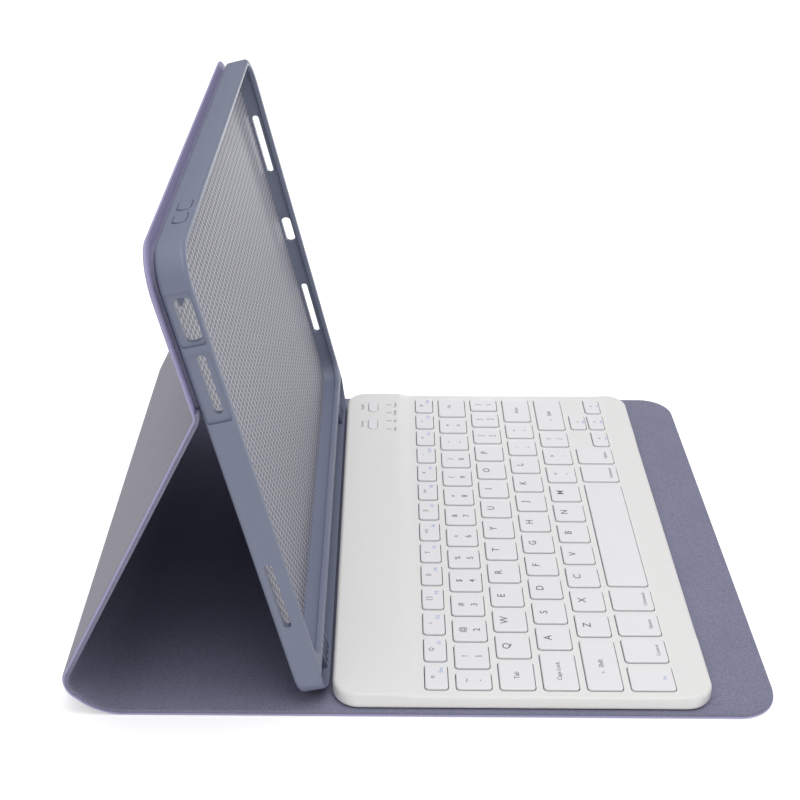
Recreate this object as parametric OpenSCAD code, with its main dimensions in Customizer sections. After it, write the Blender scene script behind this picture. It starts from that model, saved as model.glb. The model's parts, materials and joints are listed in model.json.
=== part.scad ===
// Folding keyboard case for a tablet: a folio cover whose back folds into a stand,
// a soft tray that holds the tablet, and a thin wireless keyboard on the front flap.
// X runs along the keyboard, Y from the user to the rear, Z up. Millimetres.
// Lengths along the base start at the flap's front edge; the whole is centred by centred().

/* [Folio cover] */
// How far the cover stands out beyond the wider of the tray and the keyboard
cover_margin = 1.5; // [1:0.1:4]
// Foot of the tray's back to the first fold
foot_to_fold = 79.6; // [70:0.1:95]
// Radius of the flap's two front corners
flap_corner_r = 16; // [4:1:24]
// Width of the spine between its two folds
spine_w = 19.5; // [16:0.5:26]
// Angle of the spine above the base when the case stands
spine_angle = 42; // [30:1:55]
// Length of the stand panel between its two folds
stand_len = 134; // [122:1:150]
// Thickness of the outer skin
skin_t = 0.7; // [0.4:0.1:1.2]
// Thickness of the stiff board inside each panel
board_t = 1.2; // [0.6:0.1:2.4]
// Thickness of the lining
lining_t = 0.7; // [0.4:0.1:1.2]
// Half of the free strip left at each fold
fold_gap = 1.5; // [1.4:0.1:3]
// Width of skin left around each board
board_margin = 3; // [2:0.5:6]

/* [Tablet tray] */
// Width of the tablet that the tray fits
tablet_w = 247.6; // [225:0.1:290]
// Height of the tablet as it stands
tablet_h = 178.5; // [150:0.1:200]
// Thickness of the tablet
tablet_t = 6.1; // [5:0.1:9]
// Corner radius of the tablet
tablet_r = 12; // [6:0.5:16]
// Free space around the tablet
tablet_clearance = 0.3; // [0.1:0.1:1]
// Lean of the tray from upright
tablet_tilt = 13.6; // [8:0.2:20]
// Thickness of the tray's side walls
tray_wall = 2.9; // [1.6:0.1:4]
// Thickness of the tray's top wall
tray_top_wall = 1.9; // [1.4:0.1:4]
// Thickness of the tray's foot, below the pencil channel
foot_t = 2.2; // [1.4:0.1:4]
// Thickness of the bar between the pencil channel and the tablet
divider_t = 2; // [1.4:0.1:4]
// Thickness of the tray's back
tray_back = 2.4; // [1.2:0.1:4]
// Height of the tray's front lip above the tablet
lip_h = 2.4; // [1.2:0.1:4]
// How far the lip reaches over the tablet
lip_over = 1.3; // [0.8:0.1:2]
// Height of the pencil channel below the tablet
channel_h = 11; // [8:0.5:14]
// Gap between the tray's foot and the keyboard
stand_gap = 0.8; // [0.4:0.1:3]
// Gap between the tray's foot and the lining
foot_gap = 0.3; // [0.2:0.1:1]
// How far the back panel stands out beyond the tray at its top
back_panel_over = 1.8; // [0:0.1:4]
// Thickness of the adhesive between the tray and the back panel
adhesive_t = 0.5; // [0.2:0.1:1]
// Width of the window over the rear camera
camera_w = 25; // [16:1:30]
// Height of the window over the rear camera
camera_h = 18; // [14:1:24]
// Length of a volume button
volume_button_l = 10; // [7:0.5:11]
// Distance between the two volume buttons
volume_pitch = 12.6; // [12:0.2:20]
// Travel of a tray button
tray_button_travel = 0.5; // [0.2:0.1:0.8]

/* [Keyboard] */
// Rear edge of the function keys to the rear of the keyboard
rear_band_d = 36.9; // [34:0.1:50]
// Corner radius of the keyboard
kb_r = 11; // [5:1:16]
// Front edge of the flap to the front edge of the keyboard
kb_front = 26; // [6:1:40]
// Sideways offset of the keyboard from the cover's middle
kb_offset = -2.4; // [-3:0.1:3]
// Thickness of the bottom case
bottom_t = 1; // [0.8:0.1:1.6]
// Height of the key deck above the bottom of the keyboard
deck_h = 5.2; // [5:0.1:7]
// Height of the rear band above the key deck
band_h = 1.2; // [0.6:0.1:3]
// Thickness of the key deck
deck_t = 1.2; // [0.8:0.1:1.6]
// Thickness of the top case's side walls
kb_wall = 1.8; // [1.2:0.1:3]
// Height of the rubber feet below the bottom case
feet_h = 0.4; // [0.2:0.1:2]

/* [Keys] */
// Distance between two keys in a row
key_pitch = 17.19; // [16.8:0.01:17.3]
// Gap between two keys in a row
key_gap = 2.29; // [2:0.01:3]
// Gap between two rows
row_gap = 3.3; // [2.5:0.1:3.6]
// Depth of a letter key
key_d = 14; // [13:0.1:14.5]
// Depth of a function key
function_key_d = 9.1; // [8:0.1:11]
// Depth of a key in the front row
front_key_d = 17.6; // [16:0.1:18]
// Left edge of the keyboard to the first key
key_side_margin = 4.6; // [4.2:0.1:6]
// Last key of a row to the right edge of the keyboard
key_right_margin = 6.03; // [4.2:0.01:8]
// Front edge of the keyboard to the front row
key_front_margin = 14.9; // [8:0.1:16]
// Height of a key's top above the deck
key_proud = 0.8; // [0.4:0.1:2]
// Travel of a key
key_travel = 1.5; // [1:0.1:1.6]
// Clearance between a key and its window
key_clearance = 0.35; // [0.2:0.05:0.5]
// Corner radius of a key
key_r = 1.4; // [0.6:0.1:2.5]

/* [Hidden] */
$fn = 48;
EPS = 0.01;

// Cover: thickness, fold points on the middle of the sheet, and panel angles
cover_t = skin_t + board_t + lining_t;
panel_clearance = 0.1;
tray_t = tray_back + tablet_t + lip_h;
tray_w = tablet_w + 2 * tablet_clearance + 2 * tray_wall;
pocket_s = foot_t + channel_h + divider_t;
pocket_h = tablet_h + 2 * tablet_clearance;
tray_h = pocket_s + pocket_h + tray_top_wall;
tray_r = tablet_r + tray_wall;
lean = 90 - tablet_tilt;
row_len = 14 * key_pitch - key_gap;
kb_w = key_side_margin + row_len + key_right_margin;
kb_d = key_front_margin + front_key_d + 4 * key_d + 5 * row_gap + function_key_d + rear_band_d;
cover_w = max(tray_w, kb_w + 2 * abs(kb_offset)) + 2 * cover_margin;
kb_rear = kb_front + kb_d;
foot_y = kb_rear + stand_gap + tray_t * sin(lean);
foot_z = cover_t + foot_gap;
flap_d = foot_y + foot_to_fold;
fold_a = [flap_d, cover_t / 2];
fold_b = fold_a + spine_w * [cos(spine_angle), sin(spine_angle)];
back_offset = adhesive_t + cover_t / 2;
lever = (fold_b - [foot_y, foot_z]) * [sin(lean), -cos(lean)] - back_offset;
stand_angle = lean + asin(lever / stand_len);
fold_c = fold_b + stand_len * [cos(stand_angle), sin(stand_angle)];
fold_s = (fold_c - [foot_y, foot_z]) * [cos(lean), sin(lean)];
back_panel_len = tray_h + back_panel_over - fold_s;
back_panel_r = tray_r + back_panel_over;
spine_rear = fold_b[0] - fold_gap * cos(spine_angle) + cover_t / 2 * sin(spine_angle);
stand_rear = fold_b[0] + fold_gap * cos(stand_angle) + cover_t / 2 * sin(stand_angle);
total_depth = max(spine_rear, stand_rear);

// Tray openings, placed from the ends of the tablet's pocket
// Speaker slots: [side, lowest s, highest s, middle n, width]
pocket_top = pocket_s + pocket_h;
low_slot_n = tray_back + 2.5;
high_slot_n = tray_back + 3.8;
speaker_slots = [
    [-1, pocket_s + 24.5, pocket_s + 54.3, low_slot_n, 3.2],
    [-1, pocket_top - 59.5, pocket_top - 36.1, high_slot_n, 3.2],
    [1, pocket_s + 27.4, pocket_s + 56.6, low_slot_n, 3.2],
    [1, pocket_top - 59.3, pocket_top - 28.8, high_slot_n, 3.2]
];
port_middle_s = pocket_s + pocket_h / 2 - 1.5;
port_l = 13.5;
port_w = 6;
power_window_l = 17;
power_window_from_top = 14;
power_window_n = [tray_back + 0.6, tray_back + 7.2];
volume_first_x = -tray_w / 2 + 33.5;
volume_button_w = 5.2;
volume_button_n = tray_back + 4.2;
button_slit = 0.35;
button_proud = tray_button_travel + 0.1;
camera_from_side = 7;
camera_from_top = 4.5;
skin_window_gap = 0.6;
board_window_gap = 2;
adhesive_window_gap = 0.8;
tooth_t = 1.6;
tooth_height = 0.45;
tooth_lip_gap = 3;
tooth_pitch = 4.2;
tooth_count = 4;
tooth_from_end = 18;

// Magnets
magnet_t = 0.8;
magnet_r = 5;
magnet_y = [0.2, 0.8];
magnet_x = [-0.36, -0.12, 0.12, 0.36];
flap_magnet_l = 24;
flap_magnet_w = 6;
flap_magnet_x = [-0.34, 0, 0.34];

// Keyboard levels
kb_rest_gap = 0.3;
kb_z = cover_t + kb_rest_gap + feet_h;
bottom_top = kb_z + bottom_t;
deck_top = kb_z + deck_h;
deck_under = deck_top - deck_t;
band_top = deck_top + band_h;
plate_z = bottom_top + 0.15;
plate_t = 0.4;
membrane_t = 0.25;
membrane_z = plate_z + plate_t;
dome_z = membrane_z + membrane_t;
key_top = deck_top + key_proud;
key_t = key_proud + deck_t - 0.2;
key_under = key_top - key_t;
dome_h = key_under - 0.1 - dome_z;
dome_r = 2.6;
scissor_h = key_under - key_travel - 0.1 - dome_z;
kb_x0 = kb_offset - kb_w / 2;
kb_x1 = kb_offset + kb_w / 2;

// Key rows: where each row starts, and the widths of the odd keys
key_x0 = kb_x0 + key_side_margin;
key_w = key_pitch - key_gap;
key_x1 = key_x0 + row_len;
front_row_y = kb_front + key_front_margin;
shift_row_y = front_row_y + front_key_d + row_gap;
home_row_y = shift_row_y + key_d + row_gap;
upper_row_y = home_row_y + key_d + row_gap;
number_row_y = upper_row_y + key_d + row_gap;
function_row_y = number_row_y + key_d + row_gap;
keys_rear_y = function_row_y + function_key_d;
grave_w = 10.5;
tab_w = 17.1;
caps_w = 22.7;
shift_w = 31.3;
arrow_d = (front_key_d - 1.6) / 2;

// A key is [left, front, width, depth]
function key_row(x, y, count, depth) = [for (i = [0:count - 1]) [x + i * key_pitch, y, key_w, depth]];
function last_key(x, y, depth) = [[x, y, key_x1 - x, depth]];
function front_x(i) = key_x0 + i * key_pitch;
function after(width) = key_x0 + width + key_gap;
function_keys_at = key_row(key_x0, function_row_y, 14, function_key_d);
number_keys_at = key_row(after(grave_w), number_row_y, 12, key_d);
upper_keys_at = key_row(after(tab_w), upper_row_y, 12, key_d);
home_keys_at = key_row(after(caps_w), home_row_y, 11, key_d);
shift_keys_at = key_row(after(shift_w), shift_row_y, 10, key_d);
grave_at = [[key_x0, number_row_y, grave_w, key_d]];
backspace_at = last_key(after(grave_w) + 12 * key_pitch, number_row_y, key_d);
tab_at = [[key_x0, upper_row_y, tab_w, key_d]];
backslash_at = last_key(after(tab_w) + 12 * key_pitch, upper_row_y, key_d);
caps_at = [[key_x0, home_row_y, caps_w, key_d]];
enter_at = last_key(after(caps_w) + 11 * key_pitch, home_row_y, key_d);
left_shift_at = [[key_x0, shift_row_y, shift_w, key_d]];
right_shift_at = last_key(after(shift_w) + 10 * key_pitch, shift_row_y, key_d);
fn_at = [[front_x(0), front_row_y, key_w, front_key_d]];
control_at = [[front_x(1), front_row_y, key_w, front_key_d]];
left_option_at = [[front_x(2), front_row_y, key_w, front_key_d]];
left_command_at = [[front_x(3), front_row_y, key_w, front_key_d]];
space_at = [[front_x(4), front_row_y, 5 * key_pitch - key_gap, front_key_d]];
right_command_at = [[front_x(9), front_row_y, key_w, front_key_d]];
right_option_at = [[front_x(10), front_row_y, key_w, front_key_d]];
arrow_rear_y = front_row_y + front_key_d - arrow_d;
left_arrow_at = [[front_x(11), front_row_y, key_w, arrow_d]];
down_arrow_at = [[front_x(12), front_row_y, key_w, arrow_d]];
up_arrow_at = [[front_x(12), arrow_rear_y, key_w, arrow_d]];
right_arrow_at = [[front_x(13), front_row_y, key_w, arrow_d]];
wide_keys = concat(backspace_at, enter_at, caps_at, left_shift_at, right_shift_at, space_at);
small_keys = concat(grave_at, tab_at, backslash_at, fn_at, control_at, left_option_at,
    left_command_at, right_command_at, right_option_at, left_arrow_at, down_arrow_at,
    up_arrow_at, right_arrow_at);
letter_keys = concat(number_keys_at, upper_keys_at, home_keys_at, shift_keys_at);
all_keys = concat(function_keys_at, letter_keys, wide_keys, small_keys);

// Rear band: battery, controls and lamps
band_foot_y = keys_rear_y + 5.5;
band_slope = 4;
band_middle_y = (band_foot_y + band_slope + kb_rear) / 2;
bay_depth = kb_rear - kb_wall - 1 - band_foot_y;
battery_size = [96, bay_depth - 4, 2.7];
battery_x = kb_offset - 62;
pcb_size = [76, bay_depth - 12, 0.8];
pcb_x = kb_x1 - kb_wall - 1.2 - pcb_size[0] / 2;
pcb_z = bottom_top + 0.4;
bay_y = band_foot_y + bay_depth / 2 + 1;
switch_x = [kb_x1 - 16.5, kb_x1 - 34.9];
switch_y = kb_rear - 14;
switch_button = [11, 5];
switch_button_travel = 0.5;
lamp_count = 4;
lamp_pitch = 8.7;
lamp_first_x = kb_x1 - 14;
lamp_y = band_foot_y + band_slope + 4.9;
lamp_size = [0.9, 3];
socket_size = [6, 7.6, 2.7];
socket_y = kb_rear - 13;
foot_inset = 14;
foot_r = 4;
screw_inset = 7;
screw_head_r = 1.6;
screw_shank_r = 0.8;
screw_clearance = 0.05;
boss_r = 2.4;
screw_x = [kb_x0 + screw_inset + 3, kb_offset, kb_x1 - screw_inset - 3];
bay_top = band_top - deck_t;
// A screw is [x, y, underside of the case above it]
screw_at = [
    for (x = screw_x) [x, kb_front + screw_inset, deck_under],
    for (x = screw_x) [x, kb_rear - screw_inset, bay_top]
];

skin_grey = "#8F8E98";
lining_grey = "#7C7B8D";
tray_blue = "#8A8FA3";
case_white = "#E4E3E2";
key_white = "#E6E5E7";

// Shared shapes

module centred() {
    translate([0, -total_depth / 2, 0]) children();
}

// Rectangle from its corner, with four round corners
module round_rect(w, d, r) {
    translate([r, 0]) square([w - 2 * r, d]);
    translate([0, r]) square([w, d - 2 * r]);
    for (x = [r, w - r], y = [r, d - r]) translate([x, y]) circle(r);
}

// Strip from x = -w/2 to w/2 with round corners at one end of y only
module tab_shape(w, from, to, r, round_far) {
    straight_from = round_far ? from : from + r;
    straight_to = round_far ? to - r : to;
    round_y = round_far ? to - r : from + r;
    translate([-w / 2, straight_from]) square([w, straight_to - straight_from]);
    translate([-w / 2 + r, from]) square([w - 2 * r, to - from]);
    for (x = [-w / 2 + r, w / 2 - r]) translate([x, round_y]) circle(r);
}

// Puts local Y along a cover panel and local Z from its skin to its lining
module on_panel(start, angle) {
    translate([0, start[0], start[1]]) rotate([angle, 0, 0])
        translate([0, 0, -cover_t / 2]) children();
}

// Puts local Y up the tray's back and local Z towards the user
module on_tray() {
    translate([0, foot_y, foot_z]) rotate([lean, 0, 0]) children();
}

// One skin tray: a sheet with a raised rim, the board sits inside the rim
module skin_layer(w, from, to, r, round_far) {
    inset = board_margin;
    difference() {
        linear_extrude(skin_t + board_t) tab_shape(w, from, to, r, round_far);
        translate([0, 0, skin_t]) linear_extrude(board_t + 1)
            tab_shape(w - 2 * inset, from + inset, to - inset, max(r - inset, 0.5), round_far);
    }
}

module board_layer(w, from, to, r, round_far) {
    inset = board_margin + panel_clearance;
    translate([0, 0, skin_t]) linear_extrude(board_t)
        tab_shape(w - 2 * inset, from + inset, to - inset, max(r - inset, 0.5), round_far);
}

module lining_layer(w, from, to, r, round_far) {
    translate([0, 0, skin_t + board_t]) linear_extrude(lining_t)
        tab_shape(w, from, to, r, round_far);
}

// Folio panels

module front_panel(layer) {
    if (layer == "skin") skin_layer(cover_w, 0, flap_d - fold_gap, flap_corner_r, false);
    if (layer == "board") board_layer(cover_w, 0, flap_d - fold_gap, flap_corner_r, false);
    if (layer == "lining") lining_layer(cover_w, 0, flap_d - fold_gap, flap_corner_r, false);
}

module magnet_place() {
    for (x = magnet_x, y = magnet_y) translate([kb_offset + x * kb_w, kb_front + y * kb_d]) children();
}

module flap_magnet_place() {
    for (x = flap_magnet_x)
        translate([x * cover_w - flap_magnet_l / 2, board_margin + 3]) children();
}

module front_cover_skin() {
    color(skin_grey) centred() front_panel("skin");
}

module front_cover_board() {
    color("#3C3C40") centred() difference() {
        front_panel("board");
        translate([0, 0, skin_t + board_t - magnet_t - panel_clearance]) {
            magnet_place() cylinder(h = board_t, r = magnet_r + panel_clearance);
            flap_magnet_place() translate([-panel_clearance, -panel_clearance])
                cube([flap_magnet_l + 2 * panel_clearance, flap_magnet_w + 2 * panel_clearance, board_t]);
        }
    }
}

module front_cover_lining() {
    color(lining_grey) centred() front_panel("lining");
}

module cover_magnets() {
    color("#B9BCC0") centred() translate([0, 0, skin_t + board_t - magnet_t])
        magnet_place() cylinder(h = magnet_t, r = magnet_r);
}

module flap_magnets() {
    color("#B9BCC0") centred() translate([0, 0, skin_t + board_t - magnet_t])
        flap_magnet_place() cube([flap_magnet_l, flap_magnet_w, magnet_t]);
}

module strip_panel(layer, length) {
    edge_r = 0.6;
    if (layer == "skin") skin_layer(cover_w, fold_gap, length - fold_gap, edge_r, true);
    if (layer == "board") board_layer(cover_w, fold_gap, length - fold_gap, edge_r, true);
    if (layer == "lining") lining_layer(cover_w, fold_gap, length - fold_gap, edge_r, true);
}

module spine_skin() {
    color(skin_grey) centred() on_panel(fold_a, spine_angle) strip_panel("skin", spine_w);
}

module spine_board() {
    color("#3C3C40") centred() on_panel(fold_a, spine_angle) strip_panel("board", spine_w);
}

module spine_lining() {
    color(lining_grey) centred() on_panel(fold_a, spine_angle) strip_panel("lining", spine_w);
}

module stand_panel_skin() {
    color(skin_grey) centred() on_panel(fold_b, stand_angle) strip_panel("skin", stand_len);
}

module stand_panel_board() {
    color("#3C3C40") centred() on_panel(fold_b, stand_angle) strip_panel("board", stand_len);
}

module stand_panel_lining() {
    color(lining_grey) centred() on_panel(fold_b, stand_angle) strip_panel("lining", stand_len);
}

// Window over the rear camera, in tray coordinates, grown by more on each side
module camera_window(more) {
    x = -tray_w / 2 + tray_wall + camera_from_side;
    y = pocket_top - camera_from_top - camera_h;
    translate([x - more, y - more])
        round_rect(camera_w + 2 * more, camera_h + 2 * more, 6 + more);
}

module camera_cut(more) {
    translate([0, -fold_s, -1]) linear_extrude(cover_t + 2) camera_window(more);
}

module back_panel_skin() {
    color(skin_grey) centred() on_panel(fold_c, lean) {
        difference() {
            skin_layer(cover_w, fold_gap, back_panel_len, back_panel_r, true);
            camera_cut(0.6);
        }
        translate([0, 0, skin_t]) linear_extrude(board_t) translate([0, -fold_s]) difference() {
            camera_window(skin_window_gap + board_window_gap);
            camera_window(skin_window_gap);
        }
    }
}

module back_panel_board() {
    color("#3C3C40") centred() on_panel(fold_c, lean) difference() {
        board_layer(cover_w, fold_gap, back_panel_len, back_panel_r, true);
        camera_cut(0.6 + 2 + panel_clearance);
    }
}

module back_panel_lining() {
    color(lining_grey) centred() on_panel(fold_c, lean) difference() {
        lining_layer(cover_w, fold_gap, back_panel_len, back_panel_r, true);
        camera_cut(0.6);
    }
}

// Tablet tray

module tray_adhesive() {
    inset = 6;
    color("#D8D8D2") centred() on_tray() difference() {
        translate([-tray_w / 2 + inset, fold_s + inset, -adhesive_t])
            linear_extrude(adhesive_t)
            round_rect(tray_w - 2 * inset, tray_h - fold_s - 2 * inset, tray_r - inset);
        translate([0, 0, -1]) linear_extrude(2) camera_window(adhesive_window_gap);
    }
}

module volume_place(index) {
    translate([volume_first_x + index * volume_pitch, tray_h, volume_button_n])
        rotate([90, 0, 0]) children();
}

// Stadium lying along X, centred
module stadium(l, w) {
    square([l - w, w], center = true);
    for (x = [-1, 1]) translate([x * (l - w) / 2, 0]) circle(w / 2);
}

module tray_walls() {
    linear_extrude(tray_t) translate([-tray_w / 2, 0]) round_rect(tray_w, tray_h, tray_r);
}

module tablet_space() {
    w = tablet_w + 2 * tablet_clearance;
    pocket_t = tablet_t + tablet_clearance;
    translate([-w / 2, pocket_s, tray_back]) linear_extrude(pocket_t)
        round_rect(w, pocket_h, tablet_r);
    translate([-w / 2 + lip_over, pocket_s + lip_over, tray_back])
        linear_extrude(tray_t) round_rect(w - 2 * lip_over, pocket_h - 2 * lip_over, tablet_r - lip_over);
}

module pencil_channel() {
    w = tray_w - 2 * tray_wall;
    translate([-w / 2, foot_t, tray_back]) linear_extrude(tray_t)
        round_rect(w, channel_h, min(channel_h / 2 - 0.5, 4));
}

module side_slot(side, low, high, middle, width) {
    translate([side * tray_w / 2, (low + high) / 2, middle]) rotate([0, 90, 0]) rotate([0, 0, 90])
        translate([0, 0, -tray_wall - 2]) linear_extrude(2 * tray_wall + 4)
        stadium(high - low, width);
}

module tray_cuts() {
    for (s = speaker_slots) side_slot(s[0], s[1], s[2], s[3], s[4]);
    side_slot(1, port_middle_s - port_l / 2, port_middle_s + port_l / 2,
        tray_back + tablet_t / 2, port_w);
    translate([-tray_w / 2 - 1, pocket_top - power_window_from_top - power_window_l, power_window_n[0]])
        cube([tray_wall + 2, power_window_l, power_window_n[1] - power_window_n[0]]);
    for (i = [0, 1]) volume_place(i) translate([0, 0, -1]) linear_extrude(tray_top_wall + 2)
        stadium(volume_button_l + 2 * button_slit, volume_button_w + 2 * button_slit);
    translate([0, 0, -1]) linear_extrude(tray_back + 2) camera_window(0);
}

module channel_teeth() {
    for (side = [-1, 1], i = [0:tooth_count - 1])
        translate([side * (tray_w / 2 - tooth_from_end - i * tooth_pitch) - tooth_t / 2,
            foot_t - EPS, tray_back - EPS])
            cube([tooth_t, channel_h * tooth_height, tray_t - tray_back - tooth_lip_gap]);
}

module tablet_tray() {
    color(tray_blue) centred() on_tray() {
        difference() {
            tray_walls();
            tablet_space();
            pencil_channel();
            tray_cuts();
        }
        channel_teeth();
    }
}

// A button stands proud of the wall and stops short of the tablet
module volume_button(index) {
    color(tray_blue) centred() on_tray() volume_place(index)
        translate([0, 0, -button_proud]) linear_extrude(tray_top_wall + button_proud - 0.3)
        stadium(volume_button_l, volume_button_w);
}

module volume_up_button() {
    volume_button(0);
}

module volume_down_button() {
    volume_button(1);
}

// Keyboard housing

module kb_outline(inset) {
    translate([kb_x0 + inset, kb_front + inset])
        round_rect(kb_w - 2 * inset, kb_d - 2 * inset, kb_r - inset);
}

module feet_place() {
    for (x = [kb_x0 + foot_inset, kb_x1 - foot_inset], y = [kb_front + foot_inset, kb_rear - foot_inset])
        translate([x, y]) children();
}

module keyboard_bottom_case() {
    pocket = bottom_t / 2;
    color(case_white) centred() difference() {
        translate([0, 0, kb_z]) linear_extrude(bottom_t) kb_outline(0.8);
        translate([0, 0, kb_z - EPS]) linear_extrude(pocket + EPS)
            feet_place() circle(foot_r + panel_clearance);
        for (p = screw_at) translate([p[0], p[1], kb_z - 1]) {
            cylinder(h = bottom_t + 2, r = screw_shank_r + panel_clearance);
            cylinder(h = 1 + pocket, r = screw_head_r + panel_clearance);
        }
    }
}

// Side view of the deck and the raised band behind it
module deck_side(low) {
    polygon([[kb_front - 1, low], [kb_front - 1, deck_top], [band_foot_y, deck_top],
        [band_foot_y + band_slope, band_top], [kb_rear + 1, band_top], [kb_rear + 1, low]]);
}

module key_windows() {
    for (k = all_keys)
        translate([k[0] - key_clearance, k[1] - key_clearance])
            round_rect(k[2] + 2 * key_clearance, k[3] + 2 * key_clearance, key_r + key_clearance);
}

module control_windows(clearance) {
    for (x = switch_x) translate([x, switch_y])
        stadium(switch_button[0] + 2 * clearance, switch_button[1] + 2 * clearance);
}

module lamp_windows(clearance) {
    for (i = [0:lamp_count - 1])
        translate([lamp_first_x - i * lamp_pitch, lamp_y])
            square([lamp_size[0] + 2 * clearance, lamp_size[1] + 2 * clearance], center = true);
}

module keyboard_top_case() {
    color(case_white) centred() {
        difference() {
            intersection() {
                translate([0, 0, bottom_top]) linear_extrude(band_top) kb_outline(0);
                translate([kb_x0 - 1, 0, 0]) rotate([90, 0, 90]) linear_extrude(kb_w + 2)
                    deck_side(bottom_top);
            }
            translate([0, 0, bottom_top - 1]) linear_extrude(deck_under - bottom_top + 1)
                kb_outline(kb_wall);
            translate([kb_x0 + kb_wall + 2, band_foot_y + band_slope, bottom_top - 1])
                linear_extrude(bay_top - bottom_top + 1)
                round_rect(kb_w - 2 * kb_wall - 4, kb_rear - kb_wall - 1 - band_foot_y - band_slope,
                    min(kb_r, 8));
            translate([0, 0, bottom_top]) linear_extrude(band_top) key_windows();
            translate([0, 0, bottom_top]) linear_extrude(band_top) control_windows(0.2);
            translate([0, 0, bottom_top]) linear_extrude(band_top) lamp_windows(0.05);
            translate([kb_x1 - socket_size[0] - 1, socket_y - socket_size[1] / 2 - 0.15,
                pcb_z + pcb_size[2] - 0.15])
                cube([socket_size[0] + 2, socket_size[1] + 0.3, socket_size[2] + 0.3]);
        }
        for (p = screw_at) translate([p[0], p[1], bottom_top]) difference() {
            cylinder(h = p[2] - bottom_top + 0.2, r = boss_r);
            translate([0, 0, -EPS])
                cylinder(h = deck_under - bottom_top - 0.2, r = screw_shank_r + screw_clearance);
        }
    }
}

module support_plate() {
    color("#B4B6BA") centred() translate([0, 0, plate_z]) linear_extrude(plate_t)
        translate([key_x0 - 1, front_row_y - 1])
        round_rect(row_len + 2, keys_rear_y - front_row_y + 2, 2);
}

module membrane_circuit() {
    color("#5E7A68") centred() translate([0, 0, membrane_z]) linear_extrude(membrane_t)
        translate([key_x0, front_row_y]) round_rect(row_len, keys_rear_y - front_row_y, 2);
}

module key_middles(keys) {
    for (k = keys) translate([k[0] + k[2] / 2, k[1] + k[3] / 2, 0]) children();
}

module rubber_domes() {
    color("#D9D9D4") centred() translate([0, 0, dome_z]) key_middles(all_keys)
        cylinder(h = dome_h, r = dome_r);
}

// A square ring around each dome
module scissor_ring(w, d) {
    difference() {
        translate([-w / 2, -d / 2, 0]) cube([w, d, scissor_h]);
        translate([-w / 2 + 1, -d / 2 + 1, -1]) cube([w - 2, d - 2, scissor_h + 2]);
    }
}

module scissor_frames() {
    tall_keys = concat(letter_keys, wide_keys, grave_at, tab_at, backslash_at, fn_at, control_at,
        left_option_at, left_command_at, right_command_at, right_option_at);
    flat_keys = concat(function_keys_at, left_arrow_at, down_arrow_at, up_arrow_at, right_arrow_at);
    color("#C8C9CC") centred() translate([0, 0, dome_z]) {
        key_middles(tall_keys) scissor_ring(8.4, 9.4);
        key_middles(flat_keys) scissor_ring(11, 7.4);
    }
}

module circuit_board() {
    color("#2F6B4A") centred() difference() {
        translate([pcb_x, bay_y, pcb_z + pcb_size[2] / 2]) cube(pcb_size, center = true);
        for (p = screw_at) translate([p[0], p[1], pcb_z - 1])
            cylinder(h = pcb_size[2] + 2, r = boss_r + 0.3);
    }
}

module battery() {
    color("#5C6066") centred() translate([battery_x, bay_y, bottom_top + 0.2 + battery_size[2] / 2])
        cube(battery_size, center = true);
}

module battery_lead() {
    x0 = battery_x + battery_size[0] / 2;
    x1 = pcb_x - pcb_size[0] / 2;
    color("#B03A34") centred() for (y = [-1, 1])
        translate([x0, bay_y + y, pcb_z + pcb_size[2] / 2]) rotate([0, 90, 0])
            cylinder(h = x1 - x0, r = 0.4);
}

module charging_socket() {
    wall = 0.4;
    color("#B4B6BA") centred() translate([kb_x1 - socket_size[0] - 0.3, socket_y, pcb_z + pcb_size[2]]) {
        difference() {
            translate([0, -socket_size[1] / 2, 0]) cube(socket_size);
            translate([1, -socket_size[1] / 2 + wall, wall])
                cube([socket_size[0], socket_size[1] - 2 * wall, socket_size[2] - 2 * wall]);
        }
        translate([1 - EPS, -1.8, socket_size[2] / 2 - 0.3]) cube([socket_size[0] - 2, 3.6, 0.6]);
    }
}

module tact_switches() {
    body = [4.4, 4.4, 1.2];
    color("#3A3A3E") centred() for (x = switch_x)
        translate([x, switch_y, pcb_z + pcb_size[2] + body[2] / 2]) cube(body, center = true);
}

module indicator_leds() {
    color("#E8E6C8") centred() for (i = [0:lamp_count - 1])
        translate([lamp_first_x - i * lamp_pitch, lamp_y, pcb_z + pcb_size[2] + 0.3])
            cube([0.8, 1.6, 0.6], center = true);
}

module indicator_lenses() {
    color("#C9CBCF") centred() translate([0, 0, deck_under])
        linear_extrude(band_top - deck_under) lamp_windows(0);
}

module keyboard_magnets() {
    color("#B9BCC0") centred() for (x = [kb_x0 + 30, kb_x1 - 30], y = [front_row_y - 6])
        translate([x, y, bottom_top + 0.1 + magnet_t / 2]) cube([20, 5, magnet_t], center = true);
}

module case_screws() {
    color("#B4B6BA") centred() for (p = screw_at) translate([p[0], p[1], kb_z]) {
        cylinder(h = bottom_t / 2, r = screw_head_r);
        cylinder(h = deck_under - kb_z - 0.4, r = screw_shank_r);
    }
}

module rubber_feet() {
    color("#55565C") centred() translate([0, 0, kb_z - feet_h]) linear_extrude(feet_h + bottom_t / 2)
        feet_place() circle(foot_r);
}

module control_button(index) {
    low = pcb_z + pcb_size[2] + 1.2 + switch_button_travel + 0.1;
    color(case_white) centred() translate([switch_x[index], switch_y, low])
        linear_extrude(band_top + 0.4 - low) stadium(switch_button[0], switch_button[1]);
}

module power_button() {
    control_button(0);
}

module connect_button() {
    control_button(1);
}

// Keys

module keys(list) {
    color(key_white) centred() for (k = list)
        translate([k[0], k[1], key_under]) linear_extrude(key_t) round_rect(k[2], k[3], key_r);
}

module function_keys() {
    keys(function_keys_at);
}

module number_keys() {
    keys(number_keys_at);
}

module upper_letter_keys() {
    keys(upper_keys_at);
}

module home_letter_keys() {
    keys(home_keys_at);
}

module lower_letter_keys() {
    keys(shift_keys_at);
}

module grave_key() {
    keys(grave_at);
}

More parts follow.
